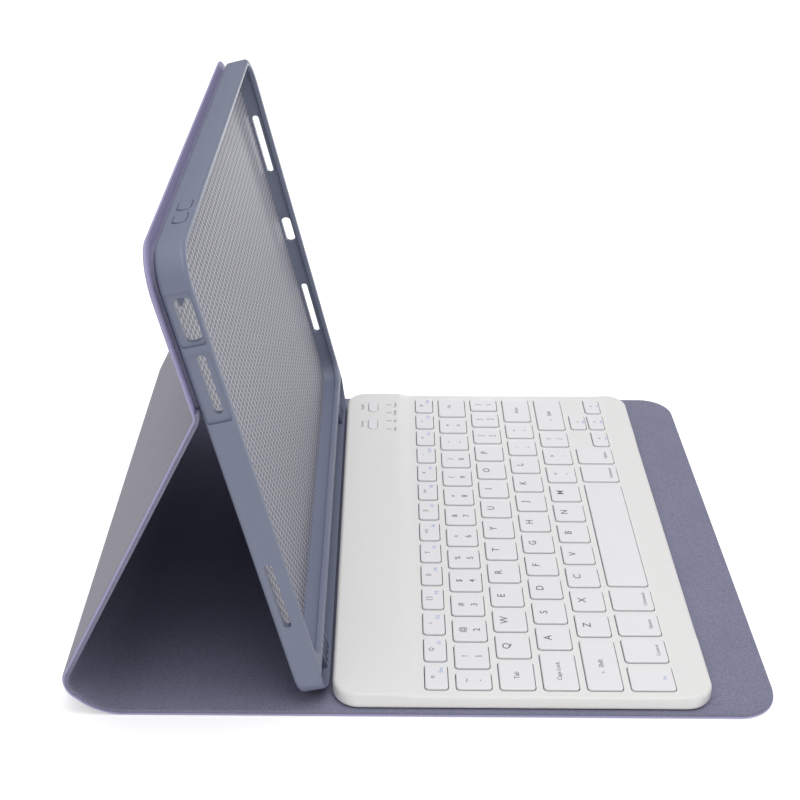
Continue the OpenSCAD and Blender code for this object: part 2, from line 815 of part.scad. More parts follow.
module backspace_key() {
    keys(backspace_at);
}

module tab_key() {
    keys(tab_at);
}

module backslash_key() {
    keys(backslash_at);
}

module caps_lock_key() {
    keys(caps_at);
}

module enter_key() {
    keys(enter_at);
}

module left_shift_key() {
    keys(left_shift_at);
}

module right_shift_key() {
    keys(right_shift_at);
}

module fn_key() {
    keys(fn_at);
}

module control_key() {
    keys(control_at);
}

module left_option_key() {
    keys(left_option_at);
}

module left_command_key() {
    keys(left_command_at);
}

module space_bar() {
    keys(space_at);
}

module right_command_key() {
    keys(right_command_at);
}

module right_option_key() {
    keys(right_option_at);
}

module left_arrow_key() {
    keys(left_arrow_at);
}

module down_arrow_key() {
    keys(down_arrow_at);
}

module up_arrow_key() {
    keys(up_arrow_at);
}

module right_arrow_key() {
    keys(right_arrow_at);
}

front_cover_skin();
front_cover_board();
front_cover_lining();
cover_magnets();
flap_magnets();
spine_skin();
spine_board();
spine_lining();
stand_panel_skin();
stand_panel_board();
stand_panel_lining();
back_panel_skin();
back_panel_board();
back_panel_lining();
tray_adhesive();
tablet_tray();
volume_up_button();
volume_down_button();
keyboard_bottom_case();
keyboard_top_case();
support_plate();
membrane_circuit();
rubber_domes();
scissor_frames();
circuit_board();
battery();
battery_lead();
charging_socket();
tact_switches();
indicator_leds();
indicator_lenses();
keyboard_magnets();
case_screws();
rubber_feet();
power_button();
connect_button();
function_keys();
number_keys();
upper_letter_keys();
home_letter_keys();
lower_letter_keys();
grave_key();
backspace_key();
tab_key();
backslash_key();
caps_lock_key();
enter_key();
left_shift_key();
right_shift_key();
fn_key();
control_key();
left_option_key();
left_command_key();
space_bar();
right_command_key();
right_option_key();
left_arrow_key();
down_arrow_key();
up_arrow_key();
right_arrow_key();
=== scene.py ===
"""Looks of a folding tablet keyboard case.

A micro-suede folio folds into a stand, a soft tray on it holds the tablet, and a thin white
wireless keyboard lies on the front flap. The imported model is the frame; every shape here is
worked out around it.
"""

import json
import logging
import math
from dataclasses import dataclass, field, replace
from enum import Enum
from typing import Callable, ClassVar, Sequence

import bpy
import numpy as np
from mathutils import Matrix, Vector


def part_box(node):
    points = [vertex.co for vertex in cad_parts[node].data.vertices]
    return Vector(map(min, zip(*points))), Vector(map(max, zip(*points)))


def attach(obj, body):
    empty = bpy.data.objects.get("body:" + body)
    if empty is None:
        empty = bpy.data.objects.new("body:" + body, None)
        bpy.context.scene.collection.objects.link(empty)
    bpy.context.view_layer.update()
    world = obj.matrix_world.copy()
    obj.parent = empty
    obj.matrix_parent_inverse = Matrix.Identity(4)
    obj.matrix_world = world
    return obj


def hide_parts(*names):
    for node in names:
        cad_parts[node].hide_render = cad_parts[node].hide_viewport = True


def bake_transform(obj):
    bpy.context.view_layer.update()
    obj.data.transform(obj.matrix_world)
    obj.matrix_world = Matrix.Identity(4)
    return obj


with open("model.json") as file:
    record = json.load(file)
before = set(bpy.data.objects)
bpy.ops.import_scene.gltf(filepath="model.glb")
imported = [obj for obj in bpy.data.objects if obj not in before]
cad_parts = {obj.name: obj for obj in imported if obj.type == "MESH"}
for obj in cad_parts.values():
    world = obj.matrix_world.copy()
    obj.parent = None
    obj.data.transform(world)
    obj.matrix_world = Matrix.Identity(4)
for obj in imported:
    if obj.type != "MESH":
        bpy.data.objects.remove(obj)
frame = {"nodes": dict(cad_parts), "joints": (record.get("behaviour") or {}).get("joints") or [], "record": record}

LOG = logging.getLogger("keyboard_case")
MM = 0.001
LEAST_R = 0.05
Array = np.ndarray
Span = tuple[float, float]
Point = tuple[float, float, float]
Place = Callable[[Array], Array]
Surface = Callable[[Array, Array], Array]
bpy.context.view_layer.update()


# ---- shapes


@dataclass
class Shape:
    """A surface: its points, its faces and the index of the finish on each face."""

    points: Array
    faces: list[list[int]]
    paint: list[int]

    def moved(self, place: Place) -> "Shape":
        """Returns the shape with its points put through place."""
        return Shape(place(self.points), self.faces, self.paint)

    def in_metres(self) -> "Shape":
        """Returns the shape, drawn in millimetres, in metres."""
        return self.moved(lambda p: p * MM)


def join(shapes: Sequence[Shape]) -> Shape:
    """Puts several shapes into one.

    Args:
        shapes: The shapes, in order.

    Returns:
        One shape with all their points and faces.
    """
    points, faces, paint, start = [], [], [], 0
    for shape in shapes:
        points.append(shape.points)
        faces.extend([[i + start for i in f] for f in shape.faces])
        paint.extend(shape.paint)
        start += len(shape.points)
    return Shape(np.concatenate(points), faces, paint)


@dataclass(frozen=True)
class Outline:
    """A rounded rectangle at one height, in millimetres. lift is how far it follows the surface."""

    x0: float
    x1: float
    y0: float
    y1: float
    front_r: float
    rear_r: float
    z: float
    lift: float = 0.0


@dataclass(frozen=True)
class Spacing:
    """How finely an outline is divided: across it, along its straight sides and round a corner."""

    columns: int = 6
    along: tuple[float, ...] = (0.5,)
    arc: int = 5

    @property
    def rows(self) -> int:
        """Number of rows from the front edge to the rear edge."""
        return 2 * self.arc + len(self.along) + 1


def even(count: int) -> tuple[float, ...]:
    """Returns count fractions spread evenly between 0 and 1, ends left out."""
    return tuple(float(v) for v in np.linspace(0, 1, count + 2)[1:-1])


def ring(outline: Outline, spacing: Spacing) -> Array:
    """Points of a rounded rectangle, anticlockwise from the left end of its front edge.

    A corner is a quarter circle: x = cx + r sin t, y = cy - r cos t for t from 0 to 90 degrees.

    Args:
        outline: The rounded rectangle.
        spacing: How finely it is divided.

    Returns:
        An array of x, y, z rows.
    """
    o, t = outline, np.linspace(0, math.pi / 2, spacing.arc + 1)
    straight = o.y0 + o.front_r + np.array(spacing.along) * (o.y1 - o.rear_r - o.y0 - o.front_r)
    side_x = np.concatenate([
        o.x1 - o.front_r + o.front_r * np.sin(t),
        np.full(len(straight), o.x1),
        o.x1 - o.rear_r + o.rear_r * np.cos(t),
    ])
    side_y = np.concatenate([
        o.y0 + o.front_r - o.front_r * np.cos(t),
        straight,
        o.y1 - o.rear_r + o.rear_r * np.sin(t),
    ])
    across = np.linspace(0, 1, spacing.columns + 1)
    front = o.x0 + o.front_r + across * (o.x1 - o.x0 - 2 * o.front_r)
    rear = o.x1 - o.rear_r - across * (o.x1 - o.x0 - 2 * o.rear_r)
    x = np.concatenate([front, side_x[1:-1], rear, (o.x0 + o.x1 - side_x)[-2:0:-1]])
    y = np.concatenate([
        np.full(len(front), o.y0), side_y[1:-1], np.full(len(rear), o.y1), side_y[-2:0:-1],
    ])
    return np.stack([x, y, np.full(len(x), o.z)], axis=1)


def filled(edge: Array, first: int, start: int, spacing: Spacing) -> tuple[Array, Array]:
    """Rows of points that close an outline, each row running straight from left to right.

    Args:
        edge: The outline's points.
        first: Index of the outline's first point in the mesh.
        start: Index that the first new point gets.
        spacing: How finely the outline is divided.

    Returns:
        The new points and the grid of indices, with the outline round its border.
    """
    c, r, n = spacing.columns, spacing.rows, len(edge)
    grid = np.zeros((r + 1, c + 1), int)
    rows, cols = np.arange(1, r), np.arange(c + 1)
    grid[0], grid[r] = cols, 2 * c + r - cols
    grid[1:r, 0], grid[1:r, c] = n - rows, c + rows
    left, right = edge[grid[1:r, 0]][:, None], edge[grid[1:r, c]][:, None]
    inner = left + (right - left) * (cols[1:-1] / c)[None, :, None]
    grid += first
    grid[1:r, 1:c] = start + np.arange((r - 1) * (c - 1)).reshape(r - 1, c - 1)
    return inner.reshape(-1, 3), grid


def slab(
    levels: Sequence[Outline],
    spacing: Spacing = Spacing(),
    surface: Surface | None = None,
    paint: Sequence[int] | None = None,
) -> Shape:
    """A closed solid through a stack of outlines, closed by rows of points at both ends.

    Args:
        levels: Outlines from the underside out, up and in to the top.
        spacing: How finely each outline is divided.
        surface: Height added at x, y to each level by its lift.
        paint: Finish of the underside, of each band and of the top; all 0 if left out.

    Returns:
        The closed shape.
    """
    rings = [ring(level, spacing) for level in levels]
    n, lifts = len(rings[0]), [np.full(len(rings[0]), level.lift) for level in levels]
    points = np.concatenate(rings)
    base, base_grid = filled(rings[0], 0, len(points), spacing)
    top, top_grid = filled(rings[-1], n * (len(rings) - 1), len(points) + len(base), spacing)
    points = np.concatenate([points, base, top])
    if surface:
        ends = [np.full(len(base), levels[0].lift), np.full(len(top), levels[-1].lift)]
        lift = np.concatenate(lifts + ends)
        points[:, 2] += lift * surface(points[:, 0], points[:, 1])
    i = np.arange(n)
    bands = [
        np.stack([k * n + i, k * n + (i + 1) % n, (k + 1) * n + (i + 1) % n, (k + 1) * n + i], axis=1)
        for k in range(len(rings) - 1)
    ]
    groups = [quads(base_grid)[:, ::-1], *bands, quads(top_grid)]
    kinds = paint or [0] * len(groups)
    return Shape(
        points,
        np.concatenate(groups).tolist(),
        [kind for kind, group in zip(kinds, groups) for _ in group],
    )


def quads(grid: Array) -> Array:
    """Returns the four-sided faces of a grid of indices, facing up where the grid does."""
    corners = [grid[:-1, :-1], grid[:-1, 1:], grid[1:, 1:], grid[1:, :-1]]
    return np.stack([c.ravel() for c in corners], axis=1)


def rounding(radius: float, steps: int) -> list[Span]:
    """Inset and rise along a rounded edge: r (1 - cos t) and r sin t, t from 0 to 90 degrees."""
    t = np.linspace(0, math.pi / 2, steps + 1)
    return [(float(radius * (1 - math.cos(v))), float(radius * math.sin(v))) for v in t]


def inset(o: Outline, by: float, z: float, lift: float = 0.0) -> Outline:
    """Returns the outline drawn in by a distance on every side, at another height."""
    front_r, rear_r = max(o.front_r - by, LEAST_R), max(o.rear_r - by, LEAST_R)
    return Outline(o.x0 + by, o.x1 - by, o.y0 + by, o.y1 - by, front_r, rear_r, z, lift)


def block(o: Outline, z0: float, z1: float, spacing: Spacing = Spacing(1, (), 5)) -> Shape:
    """Returns a plain straight-sided block on an outline, used for cutting."""
    return slab([inset(o, 0, z0), inset(o, 0, z1)], spacing)


# ---- finishes


def linear(colour: str) -> tuple[float, float, float, float]:
    """Turns an sRGB hex colour into linear red, green, blue and alpha."""
    values = [int(colour[i:i + 2], 16) / 255 for i in (1, 3, 5)]
    r, g, b = [v / 12.92 if v <= 0.04045 else ((v + 0.055) / 1.055) ** 2.4 for v in values]
    return r, g, b, 1.0


class Relief(Enum):
    """The small-scale surface that a finish has."""

    PLAIN = "plain"
    SUEDE = "suede"
    DOTS = "dots"
    GRAIN = "grain"


@dataclass(frozen=True)
class Finish:
    """One real finish: its name, colours, gloss and surface. Lengths are in millimetres."""

    name: str
    colour: str
    roughness: float = 0.5
    metallic: float = 0.0
    second: str = ""
    relief: Relief = Relief.PLAIN
    pitch: float = 1.0
    depth: float = 0.05
    sheen: float = 0.0
    turn: float = 0.0


# Brushed polyester micro-suede: a matt nap that catches light softly and is mottled by touch.
LINING = Finish(
    "micro_suede_lining", "#737386", 0.95, second="#82829A", relief=Relief.SUEDE, pitch=0.8, depth=0.06,
    sheen=0.35,
)
# The same cloth outside, coated so that it wears: a little paler and slicker.
SKIN = Finish(
    "coated_suede_skin", "#83828E", 0.8, second="#8C8B96", relief=Relief.SUEDE, pitch=0.7, depth=0.04,
    sheen=0.2,
)
# Bare cut edge of the laminated sheet: even, smooth and a bluer grey.
CUT_EDGE = Finish("painted_cut_edge", "#A29DC2", 0.6)
# Moulded TPU: a soft satin rubber with broad dull highlights.
TPU = Finish(
    "moulded_tpu", "#71778D", 0.48, second="#767C92", relief=Relief.GRAIN, pitch=0.3, depth=0.01,
)
# TPU pad moulded with a field of low dots; the dots are painted paler and the ground darker, as painted light on
# the raised dots and painted shade in the gaps between them.
TPU_DOTS_PAINTED_LIGHT = Finish(
    "dotted_tpu_pad_painted_light", "#70727F", 0.6, second="#ABABB3", relief=Relief.DOTS, pitch=3.75, depth=0.2,
)
# Moulded white ABS with a very fine spark texture: clean, warm white, soft highlight.
WHITE_ABS = Finish(
    "white_abs_case", "#E2E1E0", 0.42, second="#E6E5E4", relief=Relief.GRAIN, pitch=0.25, depth=0.006,
)
# Key caps in the same plastic, polished a little smoother and a touch cooler.
KEY_ABS = Finish("white_abs_key", "#E6E5E8", 0.36)
# Pad-printed legend inks: flat, matt.
GREY_INK = Finish("grey_legend_ink", "#6F6F74", 0.7)
BLUE_INK = Finish("blue_legend_ink", "#95A8DC", 0.7)
# Small moulded black polycarbonate parts.
BLACK_PC = Finish("black_polycarbonate", "#17181B", 0.35)
# Clear lens over a lamp, seen as pale grey when the lamp is off.
LENS = Finish("clear_lamp_lens", "#A6A8AC", 0.3)
# Bright plated or stamped steel, slightly dulled.
STEEL = Finish("stamped_steel", "#B9BBBE", 0.35, metallic=1.0)
# Dense grey board, fibrous and matt.
BOARD = Finish("grey_fibreboard", "#6E6A66", 0.9)
# Thin film of grey glue.
ADHESIVE = Finish("acrylic_adhesive", "#8C8C90", 0.5)
# Lacquered green circuit board.
FR4 = Finish("green_solder_mask", "#1E5A3A", 0.4)
# Crimped foil pouch round the battery.
POUCH = Finish("battery_pouch_foil", "#A9ACB0", 0.35, metallic=0.6)
# Milky rubber of the domes.
SILICONE = Finish("clear_silicone", "#D5D8DA", 0.5)
# Glossy printed film of the key circuit.
FILM = Finish("polyester_circuit_film", "#D9DDDF", 0.3)
# Grippy dark rubber.
FOOT = Finish("grey_rubber_foot", "#5A5B60", 0.8)
# Thin insulated wire.
RED_PVC = Finish("red_pvc_lead", "#8E2A26", 0.45)
# Slippery white plastic of the scissor frames.
POM = Finish("white_pom_scissor", "#EFEFEC", 0.4)
# Paper-white studio floor.
FLOOR = Finish("matt_white_floor", "#F6F6F6", 0.9)

NODE_FINISHES: dict[str, Finish] = {
    "cover_magnets": STEEL, "flap_magnets": STEEL, "keyboard_magnets": STEEL, "case_screws": STEEL,
    "support_plate": STEEL, "charging_socket": STEEL, "tray_adhesive": ADHESIVE,
    "membrane_circuit": FILM, "rubber_domes": SILICONE, "scissor_frames": POM, "circuit_board": FR4,
    "battery": POUCH, "battery_lead": RED_PVC, "tact_switches": BLACK_PC, "indicator_leds": LENS,
    "indicator_lenses": LENS, "rubber_feet": FOOT, "tablet_tray": TPU, "volume_up_button": TPU,
    "volume_down_button": TPU, "keyboard_bottom_case": WHITE_ABS, "keyboard_top_case": WHITE_ABS,
}


def add_node(tree: bpy.types.NodeTree, kind: str, settings: dict, links: dict) -> bpy.types.Node:
    """Adds one node to a material.

    Args:
        tree: The material's node tree.
        kind: The node's type name.
        settings: Values by attribute name, or by input socket name or number.
        links: Output sockets by the input socket name or number that they feed.

    Returns:
        The new node.
    """
    node = tree.nodes.new(kind)
    for key, value in settings.items():
        if isinstance(key, str) and hasattr(node, key):
            setattr(node, key, value)
        else:
            node.inputs[key].default_value = value
    for key, socket in links.items():
        tree.links.new(socket, node.inputs[key])
    return node


class FinishMaker:
    """Makes each finish's material once. Dot radii are shares of the pitch."""

    STAGGER = 1.63
    DOT_FOOT = 0.42
    DOT_TOP = 0.26
    MOTTLE_MM = 28.0
    MOTTLE_SHARE = 0.2
    NOISE_SPAN = (0.45, 0.75)
    BUMP_STRENGTH = 0.6
    SHEEN_ROUGHNESS = 0.6

    def __init__(self) -> None:
        """Starts with no materials."""
        self.made: dict[str, bpy.types.Material] = {}

    def material(self, finish: Finish) -> bpy.types.Material:
        """Returns the finish's material, made on first use.

        Args:
            finish: The finish.

        Returns:
            Its material.
        """
        if finish.name in self.made:
            return self.made[finish.name]
        material = bpy.data.materials.new(finish.name)
        material.use_nodes = True
        tree = material.node_tree
        shader = next(n for n in tree.nodes if n.type == "BSDF_PRINCIPLED")
        shader.inputs["Base Color"].default_value = linear(finish.colour)
        shader.inputs["Roughness"].default_value = finish.roughness
        shader.inputs["Metallic"].default_value = finish.metallic
        if finish.sheen:
            shader.inputs["Sheen Weight"].default_value = finish.sheen
            shader.inputs["Sheen Roughness"].default_value = self.SHEEN_ROUGHNESS
            shader.inputs["Sheen Tint"].default_value = linear(finish.second)
        if finish.relief is not Relief.PLAIN:
            self.relieve(tree, shader, finish)
        self.made[finish.name] = material
        return material

    def relieve(self, tree: bpy.types.NodeTree, shader: bpy.types.Node, finish: Finish) -> None:
        """Adds the finish's pattern to its colour and its bump.

        Args:
            tree: The material's node tree.
            shader: Its surface shader.
            finish: The finish, whose pitch gives the pattern's scale.
        """
        where = add_node(tree, "ShaderNodeTexCoord", {}, {}).outputs["Object"]
        if finish.relief is Relief.DOTS:
            factor = self.dots(tree, where, finish)
        else:
            # one turn of noise to each pitch, with a slow mottle over it for the nap
            fine, slow = [
                add_node(tree, "ShaderNodeTexNoise", {"Scale": scale, "Detail": detail}, {"Vector": where})
                .outputs["Fac"]
                for scale, detail in ((1 / (finish.pitch * MM), 3.0), (1 / (self.MOTTLE_MM * MM), 2.0))
            ]
            settings = {"operation": "MULTIPLY_ADD", 1: self.MOTTLE_SHARE}
            factor = add_node(tree, "ShaderNodeMath", settings, {0: slow, 2: fine}).outputs[0]
            span = {1: self.NOISE_SPAN[0], 2: self.NOISE_SPAN[1]}
            factor = add_node(tree, "ShaderNodeMapRange", span, {0: factor}).outputs[0]
        # on the dotted pad this mix paints the dots paler and the ground darker: painted light on the raised dots
        # and painted shade in the gaps
        mix = add_node(tree, "ShaderNodeMix", {"data_type": "RGBA"}, {0: factor})
        mix.inputs[6].default_value = linear(finish.colour)
        mix.inputs[7].default_value = linear(finish.second or finish.colour)
        tree.links.new(mix.outputs[2], shader.inputs["Base Color"])
        height = factor if finish.relief is Relief.DOTS else fine
        settings = {"Strength": self.BUMP_STRENGTH, "Distance": finish.depth * MM}
        bump = add_node(tree, "ShaderNodeBump", settings, {"Height": height})
        tree.links.new(bump.outputs["Normal"], shader.inputs["Normal"])

    def dots(
        self, tree: bpy.types.NodeTree, where: bpy.types.NodeSocket, finish: Finish,
    ) -> bpy.types.NodeSocket:
        """Staggered round dots: the nearest centre of two rectangular grids half a cell apart.

        Args:
            tree: The material's node tree.
            where: Object coordinates.
            finish: The finish, with its pitch and the turn that lays the pad flat.

        Returns:
            1 on a dot and 0 on the ground.
        """
        across, up = finish.pitch * MM, finish.pitch * self.STAGGER * MM

        def vector(operation: str, source: bpy.types.NodeSocket, *constants: tuple) -> bpy.types.Node:
            """Adds one step of vector arithmetic."""
            settings = {"operation": operation, **{i + 1: value for i, value in enumerate(constants)}}
            return add_node(tree, "ShaderNodeVectorMath", settings, {0: source})

        turned = add_node(tree, "ShaderNodeMapping", {"Rotation": (finish.turn, 0, 0)}, {"Vector": where})
        flat = vector("MULTIPLY", turned.outputs[0], (1, 1, 0)).outputs[0]
        near = []
        for shift in (0.0, 0.5):
            cell = vector("MULTIPLY_ADD", flat, (1 / across, 1 / up, 0), (shift, shift, 0))
            part = vector("FRACTION", cell.outputs[0])
            away = vector("MULTIPLY_ADD", part.outputs[0], (across, up, 0), (-across / 2, -up / 2, 0))
            near.append(vector("LENGTH", away.outputs[0]).outputs["Value"])
        least = add_node(tree, "ShaderNodeMath", {"operation": "MINIMUM"}, {0: near[0], 1: near[1]})
        span = {1: self.DOT_FOOT * across, 2: self.DOT_TOP * across}
        return add_node(tree, "ShaderNodeMapRange", span, {0: least.outputs[0]}).outputs[0]


FINISHES = FinishMaker()


# ---- pieces


def make_piece(name: str, shape: Shape, finishes: Sequence[Finish], sharp: float = 38.0) -> bpy.types.Object:
    """Makes a mesh object from a shape in metres.

    Args:
        name: The piece's name.
        shape: The shape, in the row frame and in metres.
        finishes: One finish to each paint index.
        sharp: Angle in degrees past which an edge shades sharp.

    Returns:
        The object, at the origin.
    """
    mesh = bpy.data.meshes.new(name)
    mesh.from_pydata(shape.points.tolist(), [], shape.faces)
    mesh.polygons.foreach_set("material_index", shape.paint)
    for finish in finishes:
        mesh.materials.append(FINISHES.material(finish))
    piece = bpy.data.objects.new(name, mesh)
    bpy.context.scene.collection.objects.link(piece)
    smooth(piece, sharp)
    return piece


def smooth(piece: bpy.types.Object, sharp: float) -> None:
    """Shades a piece smooth, with its edges past an angle in degrees left sharp."""
    piece.data.shade_smooth()
    piece.data.set_sharp_from_angle(angle=math.radians(sharp))
    piece.data.update()


def cut(piece: bpy.types.Object, cutter: Shape, sharp: float = 38.0) -> None:
    """Takes a closed shape out of a piece, for good.

    Args:
        piece: The piece.
        cutter: The shape taken away, in metres.
        sharp: Angle in degrees past which an edge shades sharp.
    """
    tool = make_piece("cutter", cutter, [])
    change = piece.modifiers.new("cut", "BOOLEAN")
    change.operation, change.solver, change.object = "DIFFERENCE", "EXACT", tool
    graph = bpy.context.evaluated_depsgraph_get()
    made = bpy.data.meshes.new_from_object(piece.evaluated_get(graph), depsgraph=graph)
    piece.modifiers.clear()
    old, piece.data = piece.data, made
    bpy.data.meshes.remove(old)
    bpy.data.objects.remove(tool)
    smooth(piece, sharp)


def settle(piece: bpy.types.Object, body: str, slot: str, *nodes: str) -> bpy.types.Object:
    """Rides a piece on its body and hides the nodes that it stands for.

    Args:
        piece: The piece.
        body: The body that it moves with.
        slot: The record's material slot; not used.
        *nodes: The nodes that it replaces.

    Returns:
        The piece.
    """
    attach(piece, body)
    if nodes:
        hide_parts(*nodes)
    LOG.info("%s rides on %s, %d faces", piece.name, body, len(piece.data.polygons))
    return piece


def box_mm(node: str) -> tuple[Array, Array]:
    """Returns a node's lowest and highest corner in millimetres."""
    low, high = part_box(node)
    return np.array(low) / MM, np.array(high) / MM


def joint(name: str) -> dict:
    """Returns the frame's joint of that name."""
    return next(j for j in frame["joints"] if j["name"] == name)


def fold_point(name: str) -> Array:
    """Returns a fold's place as y and z in millimetres."""
    return np.array(joint(name)["pos_m"][1:]) / MM


LEAN = -np.array(joint("volume_up_press")["axis"][1:])


# ---- folio


@dataclass
class Folio:
    """The cover: four stiff panels and the three folds between them, all one bent sheet.

    Lengths run along the middle of the sheet, and n across it from the skin to the lining. The
    skin's head and the lining's foot are insets and n on either side of the seam between them.
    """

    SKIN_HEAD: ClassVar[tuple[Span, ...]] = ((0.0, -0.1), (0.12, 0.0))
    LINING_FOOT: ClassVar[tuple[Span, ...]] = ((0.3, -0.02), (0.25, 0.08))

    half_width: float = field(default_factory=lambda: box_mm("front_cover_skin")[1][0])
    thickness: float = field(default_factory=lambda: box_mm("front_cover_lining")[1][2])
    front_r: float = 16.0
    top_r: float = 16.7
    seam_r: float = 0.25
    fold_reaches: Point = (8.5, 6.5, 2.2)
    crease: float = 0.15
    skin_share: float = 0.42
    glued_inset: float = 4.0
    skin_edge_r: float = 0.7
    lining_edge_r: float = 0.5
    fold_r: float = 0.01
    sharp: float = 50.0

    def __post_init__(self) -> None:
        """Finds the sheet's corners: its front edge, its three folds and its top edge."""
        folds = [fold_point(n) for n in ("spine_fold", "back_fold", "stand_fold")]
        front = np.array([box_mm("front_cover_skin")[0][1], self.thickness / 2])
        across = self.thickness / 2 * LEAN[0]
        reach = (box_mm("back_panel_lining")[1][2] - folds[2][1] - across) / LEAN[1]
        self.corners = [front, *folds, folds[2] + reach * LEAN]
        steps = np.diff(np.array(self.corners), axis=0)
        self.lengths = np.hypot(steps[:, 0], steps[:, 1])
        self.turns = np.arctan2(steps[:, 1], steps[:, 0])

    def run(self, index: int) -> Place:
        """Returns the place of x, length, n on a straight panel: start + l d + n m."""
        start, turn = self.corners[index], self.turns[index]

        def place(p: Array) -> Array:
            y = start[0] + p[:, 1] * math.cos(turn) - p[:, 2] * math.sin(turn)
            z = start[1] + p[:, 1] * math.sin(turn) + p[:, 2] * math.cos(turn)
            return np.stack([p[:, 0], y, z], axis=1) * MM

        return place

    def bend(self, index: int) -> Place:
        """Returns the place of x, u, n on a fold: an arc from one panel's line to the next.

        The arc's radius is reach / tan(turn / 2), and the sheet is pinched at its middle.
        """
        first, last = self.turns[index], self.turns[index + 1]
        turn = last - first
        reach = self.fold_reaches[index]
        radius = reach / math.tan(turn / 2)
        start = self.corners[index + 1] - reach * np.array([math.cos(first), math.sin(first)])

        def place(p: Array) -> Array:
            u = p[:, 1]
            angle = first + turn * u
            n = p[:, 2] * (1 - self.crease * np.sin(math.pi * u) ** 2)
            y = start[0] + radius * (np.sin(angle) - math.sin(first)) - n * np.sin(angle)
            z = start[1] - radius * (np.cos(angle) - math.cos(first)) + n * np.cos(angle)
            return np.stack([p[:, 0], y, z], axis=1) * MM

        return place

    def layers(self) -> dict[str, list[Span]]:
        """Returns the inset and n of each level of the skin and of the lining."""
        half, skin_r, lining_r = self.thickness / 2, self.skin_edge_r, self.lining_edge_r
        part = -half + self.thickness * self.skin_share
        under = [(i, -half + skin_r - r) for i, r in reversed(rounding(skin_r, 4))]
        foot = [(i, part + n) for i, n in self.LINING_FOOT]
        lining = foot + [(foot[-1][0] + i, half - lining_r + r) for i, r in rounding(lining_r, 3)]
        return {
            "skin": under + [(i, part + n) for i, n in self.SKIN_HEAD],
            "lining": lining,
            "glued lining": [(i + self.glued_inset, n) for i, n in lining],
        }

    def piece(
        self, name: str, layer: str, span: Span, radii: Span,
        ease: Span, place: Place, spacing: Spacing,
    ) -> bpy.types.Object:
        """Makes one layer of one panel or fold.

        Args:
            name: The piece's name.
            layer: "skin", "lining" or "glued lining".
            span: Where it starts and ends along the sheet.
            radii: Its corner radii at the start and at the end.
            ease: 1 at an end whose edge is rounded and 0 at an end that meets a neighbour.
            place: Where x, length and n lie.
            spacing: How finely it is divided.

        Returns:
            The piece.
        """
        levels = [
            Outline(
                -self.half_width + i, self.half_width - i,
                span[0] + i * ease[0], span[1] - i * ease[1],
                max(radii[0] - i * ease[0], self.fold_r), max(radii[1] - i * ease[1], self.fold_r), n,
            )
            for i, n in self.layers()[layer]
        ]
        if layer == "skin":
            paint = [0, 0, 0] + [1] * (len(levels) - 2)
            finishes = [SKIN, CUT_EDGE]
        else:
            paint, finishes = None, [LINING]
        return make_piece(name, slab(levels, spacing, paint=paint).moved(place), finishes, self.sharp)

    def build(self) -> None:
        """Makes the four panels and the three folds."""
        panels = [
            ("front_cover", "front_cover", (self.front_r, self.seam_r), (1.0, 0.0)),
            ("spine", "spine", (self.seam_r, self.seam_r), (0.0, 0.0)),
            ("stand_panel", "stand_panel", (self.seam_r, self.seam_r), (0.0, 0.0)),
            ("back_panel", "tray", (self.seam_r, self.top_r), (0.0, 1.0)),
        ]
        spacing = Spacing(24, even(20), 10)
        reaches = (0.0, *self.fold_reaches, 0.0)
        for index, (name, body, radii, ease) in enumerate(panels):
            start, end = reaches[index], self.lengths[index] - reaches[index + 1]
            for layer, slot in (("skin", "cover_skin"), ("lining", "cover_lining")):
                levels = "glued lining" if (name, layer) == ("back_panel", "lining") else layer
                sheet, place = f"{name}_{layer}_sheet", self.run(index)
                piece = self.piece(sheet, levels, (start, end), radii, ease, place, spacing)
                if name == "back_panel":
                    cut(piece, Tray.camera_cutter(), self.sharp)
                nodes = [f"{name}_{layer}"] + ([f"{name}_board"] if layer == "skin" else [])
                settle(piece, body, slot, *nodes)
        for index, name in enumerate(("spine_fold", "back_fold", "stand_fold")):
            ends = [self.bend(index)(np.array([[0.0, u, 0.0]]))[0] for u in (0.0, 1.0)]
            for layer, slot in (("skin", "cover_skin"), ("lining", "cover_lining")):
                piece = self.piece(
                    f"{name}_{layer}", layer, (0.0, 1.0), (self.fold_r, self.fold_r), (0.0, 0.0),
                    self.bend(index), Spacing(24, even(12), 1),
                )
                tuple(ends[0])
                tuple(ends[1])
                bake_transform(piece)


# ---- tray


@dataclass(frozen=True)
class Window:
    """An opening in a side wall: its span up the tray, its span out from the back, its corners."""

    s: Span
    n: Span
    corner: float


